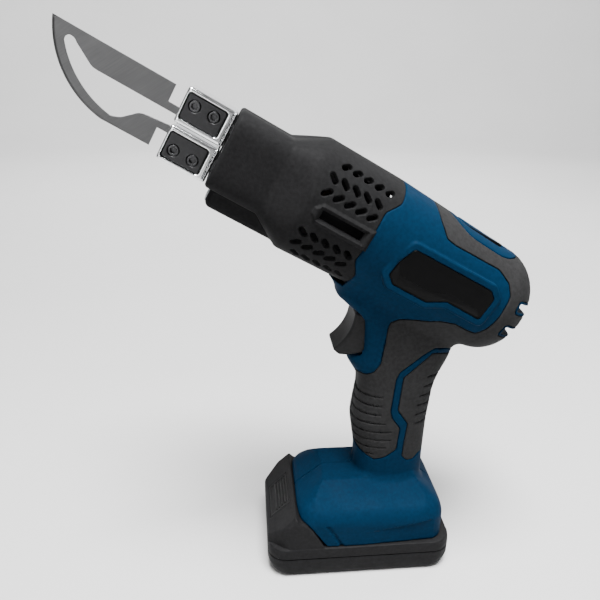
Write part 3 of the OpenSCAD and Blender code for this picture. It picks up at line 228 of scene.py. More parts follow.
def surface(field, low, high, step):
    """Points, quads and normals of the surface where a field is zero, inside a box."""
    low = np.array(low, float)
    blocks = np.ceil((np.array(high) - low) / (step * BLOCK)).astype(int)
    spans = blocks * BLOCK + 1
    index = np.stack(np.meshgrid(*[np.arange(n) for n in blocks], indexing="ij"), -1).reshape(-1, 3)
    size = step * BLOCK
    index = index[np.abs(sample(field, low + (index + 0.5) * size)) < REACH * size]
    corner = np.stack(np.meshgrid(*[np.arange(BLOCK + 1)] * 3, indexing="ij"), -1)
    grid = index[:, None, None, None, :] * BLOCK + corner
    value = sample(field, low + grid.reshape(-1, 3) * step).reshape(grid.shape[:4])
    inside = value < 0

    def keys(cells):
        return (cells[:, 0] * spans[1] + cells[:, 1]) * spans[2] + cells[:, 2]

    # One point in each cell that the surface crosses, at the mean of its crossed edges
    n = BLOCK
    offsets = [(a, b, c) for a in (0, 1) for b in (0, 1) for c in (0, 1)]
    count = sum(inside[:, a:a + n, b:b + n, c:c + n].astype(int) for a, b, c in offsets)
    cells = np.argwhere((count > 0) & (count < 8))
    place = index[cells[:, 0]] * BLOCK + cells[:, 1:]
    order = np.argsort(keys(place))
    cells, place = cells[order], place[order]
    key = keys(place)
    total, hits = np.zeros((len(cells), 3)), np.zeros(len(cells))
    for axis, way in enumerate(np.eye(3, dtype=int)):
        for start in (o for o in offsets if o[axis] == 0):
            a = cells[:, 1:] + start
            b = a + way
            first = value[cells[:, 0], a[:, 0], a[:, 1], a[:, 2]]
            second = value[cells[:, 0], b[:, 0], b[:, 1], b[:, 2]]
            hit = (first < 0) != (second < 0)
            share = first[hit] / (first[hit] - second[hit])
            total[hit] += np.array(start) + share[:, None] * way
            hits[hit] += 1
    points = low + (place + total / hits[:, None]) * step

    # One quad round each grid edge that the surface crosses
    quads = []
    for axis, way in enumerate(np.eye(3, dtype=int)):
        first = inside[:, :n, :n, :n]
        second = inside[:, way[0]:way[0] + n, way[1]:way[1] + n, way[2]:way[2] + n]
        edges = np.argwhere(first != second)
        at = index[edges[:, 0]] * BLOCK + edges[:, 1:]
        u, v = np.roll(way, 1), np.roll(way, 2)
        ring = [keys(at - u - v), keys(at - v), keys(at), keys(at - u)]
        found = np.stack([np.minimum(np.searchsorted(key, r), len(key) - 1) for r in ring], 1)
        whole = np.all(key[found] == np.stack(ring, 1), 1)
        outward = first[edges[:, 0], edges[:, 1], edges[:, 2], edges[:, 3]]
        found[~outward] = found[~outward][:, ::-1]
        quads.append(found[whole])

    # The points slide onto the surface itself
    for _ in range(2):
        now = sample(field, points)
        slope = slopes(field, points, now)
        move = now[:, None] * slope / np.maximum((slope * slope).sum(1), 0.1)[:, None]
        points = points - np.clip(move, -0.5 * step, 0.5 * step)
    normals = slopes(field, points, sample(field, points))
    normals /= np.maximum(np.linalg.norm(normals, axis=1), 1e-6)[:, None]
    return points, np.concatenate(quads), normals


def add_object(name, data):
    """New object in the scene."""
    obj = bpy.data.objects.new(name, data)
    bpy.context.scene.collection.objects.link(obj)
    return obj


def solid(name, points, quads, normals, mirror=False):
    """Mesh object of a surface, mirrored across the middle plane if asked."""
    if mirror:
        flip = np.array([1.0, -1.0, 1.0])
        points, normals, quads = points * flip, normals * flip, quads[:, ::-1]
    mesh = bpy.data.meshes.new(name)
    mesh.from_pydata((points * MM).tolist(), [], quads.tolist())
    mesh.validate()
    mesh.shade_smooth()
    mesh.normals_split_custom_set_from_vertices(normals.tolist())
    return add_object(name, mesh)


def ring_mesh(name, rings, closed):
    """Mesh through rings of points, with a face over the first, and over the last if closed."""
    shape = bmesh.new()
    loops = [[shape.verts.new(point) for point in ring] for ring in rings]
    shape.faces.new(loops[0])
    for below, above in zip(loops, loops[1:]):
        for k in range(len(below)):
            j = (k + 1) % len(below)
            shape.faces.new((below[j], below[k], above[k], above[j]))
    if closed:
        shape.faces.new(reversed(loops[-1]))
        bmesh.ops.recalc_face_normals(shape, faces=shape.faces)
    mesh = bpy.data.meshes.new(name)
    shape.to_mesh(mesh)
    shape.free()
    return mesh


# Materials

def shader_input(mat, socket):
    """Socket of a material's principled shader."""
    return mat.node_tree.nodes["Principled BSDF"].inputs[socket]


def new_shader(name, color, rough, metal=0.0, shine=0.5, clear=0.0):
    """Material with a principled shader and its even values set."""
    mat = bpy.data.materials.new(name)
    mat.use_nodes = True
    values = {"Base Color": (*color, 1.0), "Roughness": rough, "Metallic": metal,
              "Specular IOR Level": shine, "Transmission Weight": clear}
    for socket, value in values.items():
        shader_input(mat, socket).default_value = value
    return mat


def noise(mat, scale, detail=3.0, stretch=(1.0, 1.0, 1.0), turn=(0.0, 0.0, 0.0)):
    """Noise in the object's own coordinates, with features of about 1 / scale metres."""
    nodes, links = mat.node_tree.nodes, mat.node_tree.links
    coords = nodes.new("ShaderNodeTexCoord")
    spin, pull = nodes.new("ShaderNodeMapping"), nodes.new("ShaderNodeMapping")
    spin.inputs["Rotation"].default_value = turn
    pull.inputs["Scale"].default_value = stretch
    tex = nodes.new("ShaderNodeTexNoise")
    tex.inputs["Scale"].default_value = scale
    tex.inputs["Detail"].default_value = detail
    links.new(coords.outputs["Object"], spin.inputs["Vector"])
    links.new(spin.outputs["Vector"], pull.inputs["Vector"])
    links.new(pull.outputs["Vector"], tex.inputs["Vector"])
    return tex.outputs["Fac"]


# Share of the noise's values that the ramps spread out
NOISE_ENDS = (0.3, 0.7)


def feed(mat, kind, fac, entry, result, socket):
    """Node of a kind between a noise and a socket of the shader."""
    node = mat.node_tree.nodes.new(kind)
    mat.node_tree.links.new(fac, node.inputs[entry])
    mat.node_tree.links.new(node.outputs[result], shader_input(mat, socket))
    return node


def tint(mat, fac, color, low, high):
    """Base colour that runs from low to high times a colour."""
    ramp = feed(mat, "ShaderNodeValToRGB", fac, "Fac", "Color", "Base Color")
    for element, at, share in zip(ramp.color_ramp.elements, NOISE_ENDS, (low, high)):
        element.position = at
        element.color = (*(c * share for c in color), 1.0)


def vary(mat, fac, low, high):
    """Roughness that runs between two values."""
    spread = feed(mat, "ShaderNodeMapRange", fac, "Value", "Result", "Roughness")
    for socket, value in zip(("From Min", "From Max", "To Min", "To Max"), (*NOISE_ENDS, low, high)):
        spread.inputs[socket].default_value = value


def emboss(mat, fac, height):
    """Fine relief of a height in millimetres."""
    relief = feed(mat, "ShaderNodeBump", fac, "Height", "Normal", "Normal")
    relief.inputs["Distance"].default_value = height * MM
    relief.inputs["Strength"].default_value = 1.0


MATERIALS = {}
MOTTLE_SCALE, GLOSS_SCALE, SMUDGE_SCALE = 520.0, 60.0, 90.0


def moulded(name, color, rough, grain=1400.0, relief=0.03, mottle=0.12, **even):
    """Moulded plastic or rubber: slight mottling, a fine spark-eroded grain and uneven gloss."""
    mat = new_shader(name, color, rough, **even)
    tint(mat, noise(mat, MOTTLE_SCALE, 8.0), color, 1.0 - mottle, 1.0 + mottle)
    vary(mat, noise(mat, GLOSS_SCALE, 4.0), rough - 0.05, rough + 0.06)
    emboss(mat, noise(mat, grain, 2.0), relief)
    MATERIALS[name] = mat


def metallic(name, color, rough, spread=0.08, stretch=(1.0, 1.0, 1.0), scale=500.0, relief=0.004):
    """Metal with streaks or smudges in its gloss."""
    mat = new_shader(name, color, rough, 1.0)
    fac = noise(mat, scale, 4.0, stretch, (0.0, TILT, 0.0))
    tint(mat, fac, color, 0.9, 1.08)
    vary(mat, noise(mat, SMUDGE_SCALE), rough - spread, rough + spread)
    emboss(mat, fac, relief)
    MATERIALS[name] = mat


# Stretch of the noise that makes brush strokes along the barrel
BRUSH = (0.04, 1.0, 1.0)

metallic("blade_steel", (0.072, 0.072, 0.073), 0.46, spread=0.05, stretch=BRUSH, scale=1500.0, relief=0.006)
metallic("clamp_chrome", (0.80, 0.81, 0.82), 0.12, spread=0.05, scale=260.0)
metallic("jaw_dark", (0.03, 0.03, 0.031), 0.4, spread=0.1, scale=700.0, relief=0.02)
metallic("black_oxide", (0.05, 0.05, 0.052), 0.28, scale=900.0)
# Copper darkened far below its own colour as painted shade, so the turn seen through the vents stays dark
metallic("copper", (0.10, 0.055, 0.036), 0.45)
metallic("tinned", (0.16, 0.16, 0.165), 0.4)
metallic("core_dark", (0.010, 0.010, 0.011), 0.6, stretch=(1.0, 1.0, 0.05), scale=900.0)
# Winding enamel darkened nearly to black as painted shade, so the winding seen through the vents stays dark
metallic("winding_enamel", (0.012, 0.007, 0.004), 0.45, stretch=(1.0, 0.05, 1.0), scale=900.0)
metallic("sink_alloy", (0.55, 0.56, 0.58), 0.35, stretch=BRUSH)
metallic("screw_steel", (0.12, 0.12, 0.125), 0.38, scale=700.0)
metallic("nickel", (0.5, 0.48, 0.44), 0.3)
metallic("contact_brass", (0.66, 0.45, 0.16), 0.26)
moulded("cover_black", (0.0082, 0.0082, 0.0085), 0.62, 1100.0, relief=0.07, mottle=0.2, shine=0.02)
moulded("housing_blue", (0.0, 0.0105, 0.0275), 0.66, 1300.0, relief=0.05, mottle=0.16, shine=0.035)
moulded("grip_rubber", (0.0140, 0.0140, 0.0143), 0.7, 1100.0, relief=0.07, mottle=0.2, shine=0.04)
moulded("badge_black", (0.0010, 0.0010, 0.0011), 0.4, 2400.0, relief=0.004, shine=0.05)
moulded("badge_grey", (0.0024, 0.0024, 0.0025), 0.4, 2400.0, relief=0.004, shine=0.05)
moulded("insert_black", (0.003, 0.003, 0.003), 0.65, shine=0.04)
moulded("trigger_grey", (0.0115, 0.0115, 0.0118), 0.55, 1300.0, relief=0.05, mottle=0.16, shine=0.05)
moulded("pack_black", (0.0078, 0.0078, 0.0082), 0.58, 1000.0, relief=0.08, mottle=0.2, shine=0.045)
moulded("lamp_clear", (0.75, 0.78, 0.82), 0.14, 900.0, relief=0.01, clear=0.7)
moulded("board_green", (0.008, 0.09, 0.03), 0.4, 900.0, relief=0.02)
moulded("insulator_cream", (0.55, 0.5, 0.4), 0.6)
moulded("fan_black", (0.01, 0.01, 0.011), 0.45)
moulded("wire_sleeve", (0.2, 0.012, 0.012), 0.45)
moulded("switch_black", (0.012, 0.012, 0.013), 0.42)
moulded("cell_wrap", (0.02, 0.13, 0.09), 0.3, 700.0, relief=0.01)

# Finish of the pieces that keep their solids
CARRIED = {
    "board_green": ("control_board", "battery_board", "lamp_board"),
    "copper": ("secondary_turn",),
    "tinned": ("upper_busbar", "lower_busbar"),
    "core_dark": ("transformer_core",),
    "winding_enamel": ("primary_winding",),
    "insulator_cream": ("terminal_insulator", "cell_holder"),
    "fan_black": ("fan_frame", "fan_rotor"),
    "sink_alloy": ("heat_sink",),
    "screw_steel": ("cover_screws", "housing_screws", "battery_screws"),
    "wire_sleeve": ("wiring",),
    "switch_black": ("trigger_switch", "terminal_block"),
    "cell_wrap": ("battery_cells",),
    "nickel": ("nickel_strips",),
    "contact_brass": ("terminal_blades", "battery_terminals"),
}
for finish, names in CARRIED.items():
    for node in names:
        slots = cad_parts[node].data.materials
        slots.clear()
        slots.append(MATERIALS[finish])


def dress(obj, body, finish, *nodes):
    """Gives a piece its finish and the body it rides on, and hides the nodes that it stands for."""
    obj.data.materials.append(MATERIALS[finish])
    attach(obj, body)
    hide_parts(*nodes)


def add_piece(name, field, corners, step, body, finish, node, mirror=False):
    """Piece meshed from a field inside a box, dressed in a node's place."""
    dress(solid(name, *surface(field, *corners, step), mirror), body, finish, node)


# Outer forms

# Place along the axis, centre height, half width, half height, squareness
barrel_sizes = Profile([
    (-90.0, 1.4, 25.0, 21.5, 5.0), (NOSE_BACK, 1.4, 25.0, 21.5, 5.0),
    (SLEEVE_FRONT, 0.0, SLEEVE_R, SLEEVE_R, 2.5), (SLEEVE_BACK, 0.0, SLEEVE_R, SLEEVE_R, 2.1),
    (REAR_BACK, -REAR_DROP, REAR_R, REAR_R, 2.1), (160.0, -REAR_DROP, REAR_R, REAR_R, 2.1)], 0.8)

# Height, front, back, half width, squareness
handle_sizes = Profile([
    (30.0, -1.0, 43.2, 17.6, 2.6), (62.3, -1.0, 43.2, 17.6, 2.6), (69.9, -0.4, 43.2, 17.6, 2.6),
    (93.8, -4.0, 44.0, 18.5, 2.6), (117.0, -0.6, 46.4, 18.5, 2.6), (123.9, -1.0, 48.7, 18.3, 2.6),
    (137.5, -9.2, 55.0, 18.2, 2.8), (171.7, -15.0, 61.0, 18.5, 3.0), (205.0, -18.0, 61.0, 18.5, 3.0)], 3.0)


def barrel(s, y, h):
    """Nose, shoulder, sleeve, rear barrel and dome."""
    rise, a, b, e = barrel_sizes(s)
    past = np.maximum(s - REAR_BACK, 0.0)
    q = past / DOME_LEN
    v = h - rise + REAR_DROP * np.minimum(q, 1.5) ** (DOME_SQUARENESS / 2)
    share = ((np.abs(y) / a) ** e + (np.abs(v) / b) ** e) ** (1.0 / e) + 1e-6
    share = (share ** DOME_SQUARENESS + q ** DOME_SQUARENESS) ** (1.0 / DOME_SQUARENESS)
    form = np.sqrt(y * y + v * v + past * past) * (1.0 - 1.0 / share)
    return round_max(form, NOSE_FRONT - s, 2.0)


FOOT_HALF, FOOT_X, FOOT_SQUARENESS = (47.5, 36.5), 6.5, 6.0
# The foot's top rises from its edges towards the handle
FOOT_EDGE_Z, FOOT_EDGE_R, FOOT_RISE, FOOT_RISE_LEN = 41.4, 5.0, 0.78, 20.0
# The crease along each side climbs and deepens towards the back
CREASE_X, CREASE_Z, CREASE_LEN = 1.9, 30.7, 45.0
CREASE_CLIMB, CREASE_DRAFT, CREASE_STEP = 0.154, 0.05, 0.6
# A short sunk band leans near the foot's front
SLASH_X, SLASH_TOP, SLASH_HALF, SLASH_LEAN, SLASH_DEPTH = -23.0, 36.8, 1.5, 0.6, 1.1
# Shares that bring slanted measures near to true distances
RISE_SHARE, LEAN_SHARE = 0.8, 0.86


def foot(x, y, z):
    """Broad foot that sits on the pack, with a sloping top and a crease along its side."""
    plan = squircle(x - FOOT_X, y, *FOOT_HALF, FOOT_SQUARENESS)
    face = np.abs(y) - FOOT_HALF[1]
    along = x - CREASE_X
    below = CREASE_Z + CREASE_CLIMB * along - z
    crease = face + CREASE_DRAFT * np.clip(along, 0.0, CREASE_LEN) * np.clip(below / CREASE_STEP, 0.0, 1.0)
    across = LEAN_SHARE * (x - SLASH_X - SLASH_LEAN * (SLASH_TOP - z)) - SLASH_HALF
    slash = face + SLASH_DEPTH * np.clip(SLASH_HALF - np.abs(across), 0.0, 1.0) * (z < SLASH_TOP)
    plan = meet(plan, crease, slash)
    top = RISE_SHARE * (z - FOOT_EDGE_Z - FOOT_RISE * np.clip(-plan, 0.0, FOOT_RISE_LEN))
    return round_max(round_max(plan, top, FOOT_EDGE_R), FOOT_Z - z, 0.6)


def handle(x, y, z):
    """Pistol grip from inside the foot up into the barrel."""
    front, back, half, e = handle_sizes(z)
    form = squircle(x - (front + back) / 2, y, (back - front) / 2, half, e)
    return meet(form, z - HANDLE_TOP)


BARREL_REACH, FAR = 60.0, 30.0
FOOT_FILLET, BARREL_FILLET = 3.0, 7.0


def body(x, y, z, s, h):
    """Outer form of the housing."""
    lower = round_min(handle(x, y, z), foot(x, y, z), FOOT_FILLET)
    near = np.abs(h) < BARREL_REACH
    form = np.full(x.shape, FAR)
    form[near] = barrel(s[near], y[near], h[near])
    return round_min(form, lower, BARREL_FILLET)


# Outlines in the side view, as x and z
grip_edge = Outline([
    side(46, 42.5), side(46, 31), side(50, 24.7), side(56, 18.4), side(62, 17.6), side(92, 17.8),
    side(100, 14.3), side(104.3, 8.5), side(104.8, -5.5), side(103.5, -13), side(101, -18.5),
    side(96, -19.3), side(88, -19.2), side(80.5, -22.3), side(76, -26),
    (28, 165.5), (19, 165.5), (14, 163.5), (12.7, 160), (11.7, 149.7), (10, 137.2), (6.5, 131.2),
    (2, 128.8), (-3, 129.7), (-23, 129.2), (-23, 79.4), (-3, 78.1), (2, 73.3), (9.3, 69.6), (16, 71.6),
    (23, 77.1), (24.3, 92.8), (19, 100.3), (17.9, 104.7), (20, 126.6), (22, 131), (35, 141.6),
    (42, 145.6), (49, 144.2), (63, 136.8), side(145, -44.5), side(145, 42.5)], 0.7)
back_grip_edge = Outline([
    (47.5, 141.6), (40.5, 142.7), (37.5, 139.7), (24, 127.7), (21.9, 105.4), (28.5, 95.7), (26.5, 71.9),
    (30, 68.5), (34, 68.2), (38, 71.2), (67, 71.9), (77, 134.8), (57, 138.2)], 0.7)
notch_edge = Outline([
    (-30, 173.2), (-12, 173.2), (-3.5, 167.7), (0.5, 163.2), (0.5, 146.2), (-3, 140.2), (-9, 139.2),
    (-30, 139.2)], 1.5)
foot_cut = [(-20, 0), (-21, 21), (-29.5, 33), (-33, 36.5), (-37, 38.5), (-39.5, 41.5), (-41, 47.3)]
foot_edge = Outline(foot_cut + [(-101, 47.3), (-101, 0)], 0.7)

# Outlines in the barrel's side view, as s and h
cover_edge = Outline([
    (-78, 42.5), (-78, -33), (24.7, -33), (23.5, -22), (17.3, -14), (18, 15), (25, 22.5), (25.6, 28),
    (25, 42.5)], 1.2)
BADGE = [(41.5, 6.5), (91, 7), (95.5, 3.5), (94.8, -10), (72.5, -9.8), (62.5, -15.3), (41, -15.3),
         (36.5, -11.5), (37.5, -3)]
badge_edge = Outline(BADGE, 0.7)
BADGE_Y, BADGE_RIM, BADGE_T = 32.1, 4.0, 1.0

# Case screws from the right: places in the side view and the heads' outer faces
SCREWS = {"housing": [(side(34, 22), 17), (side(82, 20), 17), (side(80, -23), 15), ((-5.5, 177), 14),
                      ((21, 119.8), 15.5), ((21, 78.7), 15)],
          "cover": [(side(-30, 21), 18), (side(-54, -25.3), 10)]}
SCREW_HEAD_R, SCREW_HEAD_LEN = 3.3, 2.4


def screw_wells(form, x, y, z, screws):
    """Sinks round wells for screw heads, seen in the mirrored frame of the left half."""
    for (px, pz), face in screws:
        well = meet(np.hypot(x - px, z - pz) - SCREW_HEAD_R, y + face - SCREW_HEAD_LEN)
        form = round_max(form, -well, 0.4)
    return form


REAR_SLOTS, REAR_SLOT_W, REAR_SLOT_FRONT = (5.6, -9.4), 5.0, 113.3


def rear_slots(s, h):
    """Two slots across the dome, open to the back."""
    across = np.minimum.reduce([np.abs(h - place) for place in REAR_SLOTS]) - REAR_SLOT_W / 2
    return round_max(across, REAR_SLOT_FRONT - s, 0.8)


def top_stadium(s, y, first, last, width):
    """Stadium along the top of the rear barrel, seen from above."""
    return capsule(s - (first + last) / 2, y, (last - first - width) / 2, width / 2)


# Stadiums on top, each with its first place, last place and width
TOP_WINDOW, TOP_SLOT, TOP_PAD = (57.5, 106.5, 34.5), (62.0, 98.0, 19.0), (60.0, 100.0, 23.0)
TOP_RING, TOP_LIP, TOP_FLOOR, TOP_UNDER = 3.25, 1.6, 26.8, 24.6
SLOT_MARGIN, BADGE_MARGIN, DEEP = 1.3, 0.2, -50.0


def overmould(x, y, z, s, h):
    """Region of the main rubber grip."""
    top = np.where(h > 0, -top_stadium(s, y, *TOP_WINDOW), DEEP)
    badge = BADGE_RIM + BADGE_MARGIN - badge_edge(s, h)
    return meet(grip_edge(x, z), top, SLOT_MARGIN - rear_slots(s, h), badge)


# Front cover

VENT_ROWS = [(46, 10, 40), (30.5, 6, -40), (17, 6, 40), (-24, 5.5, -35), (-36.5, 5.5, 35), (-52, 9, -35)]
VENT_COUNT, VENT_PITCH, VENT_LEN, VENT_W = 5, 6.7, 6.4, 3.2
VENT_DRAFT, VENT_ROOT = 0.25, 20.0


def vents(s, y, h):
    """Rows of leaning slots round the sleeve."""
    around = np.degrees(np.arctan2(h, -y))
    result = np.full(s.shape, FAR)
    for angle, first, lean in VENT_ROWS:
        start = SLEEVE_FRONT + first
        k = np.clip(np.round((s - start) / VENT_PITCH), 0, VENT_COUNT - 1)
        u = s - start - k * VENT_PITCH
        v = np.radians(around - angle) * SLEEVE_R
        c, d = math.cos(math.radians(lean)), math.sin(math.radians(lean))
        slot = capsule(u * c + v * d, v * c - u * d, (VENT_LEN - VENT_W) / 2, VENT_W / 2)
        result = join(result, slot)
    out = np.hypot(y, h)
    draft = VENT_DRAFT * np.clip(SLEEVE_R - out, 0.0, WALL)
    return meet(result + draft, VENT_ROOT - out)


GRILLE_S, GRILLE_H, GRILLE_FACE, GRILLE_BEVEL, GRILLE_CUT = 1.0, -1.2, 33.9, 1.7, 13.8
GRILLE_FRAME, GRILLE_MOUTH, GRILLE_SLOT = (17.6, 6.0), (14.2, 4.0), (12.2, 2.4)
FRAME_DEPTH, MOUTH_DEPTH, SLOT_DEPTH, MOUTH_DRAFT = 5.0, 2.0, 4.5, 0.8
DIAGONAL = 0.7


def grille(form, s, y, h):
    """Adds the raised frame and the sunk slot on the sleeve's side."""
    u, v, out = s - GRILLE_S, h - GRILLE_H, -y - GRILLE_FACE
    cut = DIAGONAL * (np.abs(v) - u) - GRILLE_CUT
    border = meet(slab((u, v), GRILLE_FRAME), cut)
    bevel = DIAGONAL * (border + out + GRILLE_BEVEL)
    proud = round_max(meet(border, out), bevel, 0.15)
    form = round_min(form, meet(proud, -out - FRAME_DEPTH), 0.2)
    narrow = np.clip(-out, 0.0, MOUTH_DEPTH)
    mouth = slab((u, v), (GRILLE_MOUTH[0] - narrow, GRILLE_MOUTH[1] - MOUTH_DRAFT * narrow))
    hole = join(meet(mouth, -out - MOUTH_DEPTH), slab((u, v), GRILLE_SLOT))
    return round_max(form, -meet(hole, -out - SLOT_DEPTH), 0.15)


SEAM_DEPTH, SEAM_FADE = 1.2, 0.5


def parting(form, depth, y, rounding):
    """Flat face of a half, set back near the skin so that a fine groove shows where the halves meet."""
    return round_max(form, y + SEAM * np.clip((depth + SEAM_DEPTH) / SEAM_FADE, 0.0, 1.0), rounding)


LAMP_BOX = (-64.0, -13.0, -29.6), (-12.0, 13.0, 0.0)
LAMP_ROOM = (-61.9, -10.9, -27.5), (-12.0, 10.9, 0.0)
# Openings in the nose: middle height, half width and half height, back end
FRONT_HOLES = [(-10.6, (6.2, 2.2), -60.0), (10.6, (6.2, 2.2), -60.0), (-25.1, (7.6, 2.85), -58.0)]


def cover_half(x, y, z, screws=()):
    """Left half of the front cover."""
    s, h = in_barrel(x, z)
    outer = barrel(s, y, h)
    box = rounded_box((s, y, h), *LAMP_BOX, 3.6)
    hollow = join(outer + WALL, rounded_box((s, y, h), *LAMP_ROOM, 2.0))
    form = round_max(outer, cover_edge(s, h) + SEAM, 0.5)
    form = grille(form, s, y, h)
    form = round_min(form, box, 0.8)
    form = round_max(form, -hollow, 0.4)
    form = round_max(form, -vents(s, y, h), 0.3)
    for height, half, back in FRONT_HOLES:
        form = round_max(form, -meet(slab((y, h - height), half), s - back), 0.3)
    form = screw_wells(form, x, y, z, screws)
    return parting(form, join(outer, box), y, 0.35)


# Housing and grips

PAD_ROOT, BADGE_FIT, SKIN_FIT, FOOT_DECK = 22.0, 0.15, 0.1, 15.0
TRIGGER_ROOM = (-40.0, -12.3, 139.8), (11.5, 12.3, 167.6)
# Channel for the pack's rail, with a narrow neck and a wide head
NECK_HALF, NECK_TOP = 20.3, FOOT_Z + 5.0
HEAD_HALF, HEAD_Z = (24.3, 3.8), FOOT_Z + 8.5
CHANNEL_BACK = 47.0


def housing_half(x, y, z, screws=()):
    """Left half of the blue housing."""
    s, h = in_barrel(x, z)
    form = body(x, y, z, s, h)
    badge = badge_edge(s, h)
    pad = round_max(badge - BADGE_RIM, -y - BADGE_Y, 1.3)
    outer = round_min(form, meet(pad, y + PAD_ROOT), 0.8)
    region = join(overmould(x, y, z, s, h), back_grip_edge(x, z))
    outer = round_max(outer, join(form + SKIN + SKIN_FIT, -region), 0.45)
    outer = round_max(outer, -meet(badge - BADGE_FIT, y + BADGE_Y - BADGE_T), 0.25)
    notch, cut, slots = notch_edge(x, z), foot_edge(x, z), rear_slots(s, h)
    slot = top_stadium(s, y, *TOP_SLOT)
    top = meet(slot, -slot - TOP_RING, TOP_FLOOR - h)
    under_top = meet(top_stadium(s, y, *TOP_PAD), TOP_UNDER - h)
    hollow = meet(form + WALL, FOOT_Z + FOOT_DECK - z, WALL - notch, WALL - cut, SKIN - slots, -under_top)
    for away, r in ((notch, 5.5), (hollow, 0.5), (cut, 0.7), (top, 0.8), (slots, 0.6)):
        outer = round_max(outer, -away, r)
    outer = round_max(outer, SEAM - cover_edge(s, h), 0.5)
    outer = round_max(outer, -rounded_box((x, y, z), *TRIGGER_ROOM, 1.0), 0.5)
    channel = join(meet(np.abs(y) - NECK_HALF, z - NECK_TOP), slab((y, z - HEAD_Z), HEAD_HALF))
    outer = round_max(outer, -meet(channel, x - CHANNEL_BACK), 0.4)
    outer = screw_wells(outer, x, y, z, screws)
    return parting(outer, form, y, 0.2)


# Grooves across the grips: heights and how far they run from the front or the back
FRONT_GROOVES = [(114.3, 12.0), (108.2, 12.0), (102.2, 11.5), (96.2, 14.0), (90.2, 18.5), (84.4, 18.5),
                 (78.8, 15.7), (73.6, 9.0)]
BACK_GROOVES = [(126.8, 39.5), (120.2, 37.5), (113.9, 35.5), (107.6, 34.3), (101.2, 33.5), (94.8, 33.0)]
FRONT_GROOVE_R, BACK_GROOVE_R, GROOVE_SINK = 0.7, 0.8, 0.1


def grip_skin(region, form, y, z, grooves, radius):
    """Rubber over a region of the outer form; grooves gives heights and how far past an end points lie."""
    skin = round_max(form, region + GROOVE, 0.7)
    skin = round_max(skin, -form - SKIN, 0.3)
    skin = parting(skin, form, y, 0.3)
    for height, past in grooves:
        line = np.sqrt((z - height) ** 2 + (form + GROOVE_SINK) ** 2 + np.maximum(past, 0.0) ** 2)
        skin = round_max(skin, radius - line, 0.25)
    return skin


def grip_half(x, y, z, screws=()):
    """Left half of the main grip, with its grooves round the handle's front."""
    s, h = in_barrel(x, z)
    grooves = [(height, x - end) for height, end in FRONT_GROOVES]
    skin = grip_skin(overmould(x, y, z, s, h), body(x, y, z, s, h), y, z, grooves, FRONT_GROOVE_R)
    return screw_wells(skin, x, y, z, screws)


def back_grip_half(x, y, z, screws=()):
    """Left half of the strip down the handle's back."""
    grooves = [(height, end - x) for height, end in BACK_GROOVES]
    skin = grip_skin(back_grip_edge(x, z), body(x, y, z, *in_barrel(x, z)), y, z, grooves, BACK_GROOVE_R)
    return screw_wells(skin, x, y, z, screws)


# Field, box, step, finish and the screws of each piece made in two halves
HALVES = {
    "front_cover": (cover_half, (-110, -36, 174), (36, 1.5, 284), 0.6, "cover_black", SCREWS["cover"]),
    "housing": (housing_half, (-44, -40, 19), (116, 1.5, 256), 1.0, "housing_blue", SCREWS["housing"]),
    "grip": (grip_half, (-12, -36, 66), (118, 1.5, 244), 0.75, "grip_rubber", SCREWS["housing"]),
    "back_grip": (back_grip_half, (18, -22, 64), (70, 1.5, 148), 0.75, "grip_rubber", SCREWS["housing"]),
}
for name, (field, low, high, step, finish, screws) in HALVES.items():
    add_piece(f"{name}_shell_left", field, (low, high), step, "tool", finish, f"{name}_left")
    field = functools.partial(field, screws=screws)
    add_piece(f"{name}_shell_right", field, (low, high), step, "tool", finish, f"{name}_right", True)


# Badges, top insert and lens

def inset(points, distance):
    """Outline moved inwards by a distance, or outwards if it is negative."""
    points = np.array(points, float)
    area = np.sum(points[:, 0] * np.roll(points[:, 1], -1) - points[:, 1] * np.roll(points[:, 0], -1))
    before = points - np.roll(points, 1, 0)
    after = np.roll(points, -1, 0) - points
    ways = [v / np.linalg.norm(v, axis=1)[:, None] for v in (before, after)]
    normals = [np.stack([-w[:, 1], w[:, 0]], 1) * np.sign(area) for w in ways]
    mean = normals[0] + normals[1]
    return points + distance * mean / np.maximum(1.0 + (normals[0] * normals[1]).sum(1), 0.25)[:, None]


def rounded(points, r, steps=5):
    """Outline with its corners turned into arcs of radius r."""
    result = []
    points = np.array(points, float)
    for a, b, c in zip(np.roll(points, 1, 0), points, np.roll(points, -1, 0)):
        u, v = (a - b) / np.linalg.norm(a - b), (c - b) / np.linalg.norm(c - b)
        half = math.acos(np.clip(u @ v, -1.0, 1.0)) / 2
        reach = min(r / math.tan(half), 0.45 * np.linalg.norm(a - b), 0.45 * np.linalg.norm(c - b))
        for t in np.linspace(0.0, 1.0, steps):
            result.append((1 - t) ** 2 * (b + u * reach) + 2 * t * (1 - t) * b + t * t * (b + v * reach))
    return np.array(result)


def plate(name, rings, place, smooth=False):
    """Closed mesh through rings; each is an outline and its height or heights, and place gives x, y, z."""
    points = [[place(u, v, w) for (u, v), w in zip(outline, np.broadcast_to(height, len(outline)))]
              for outline, height in rings]
    mesh = ring_mesh(name, points, True)
    if smooth:
        mesh.shade_smooth()
        mesh.set_sharp_from_angle(angle=math.radians(35))
    return add_object(name, mesh)


def on_side(sign):
    """Places barrel outline points on the left (1) or right (-1) side, a distance out from the middle."""
    def place(s, h, out):
        x, z = side(s, h)
        return Vector((x, -sign * out, z)) * MM
    return place


def room_round(s, h, reach, sides):
    """Corners of the box round a place in the barrel's side view."""
    x, z = side(s, h)
    return (x - reach[0], sides[0], z - reach[1]), (x + reach[0], sides[1], z + reach[1])


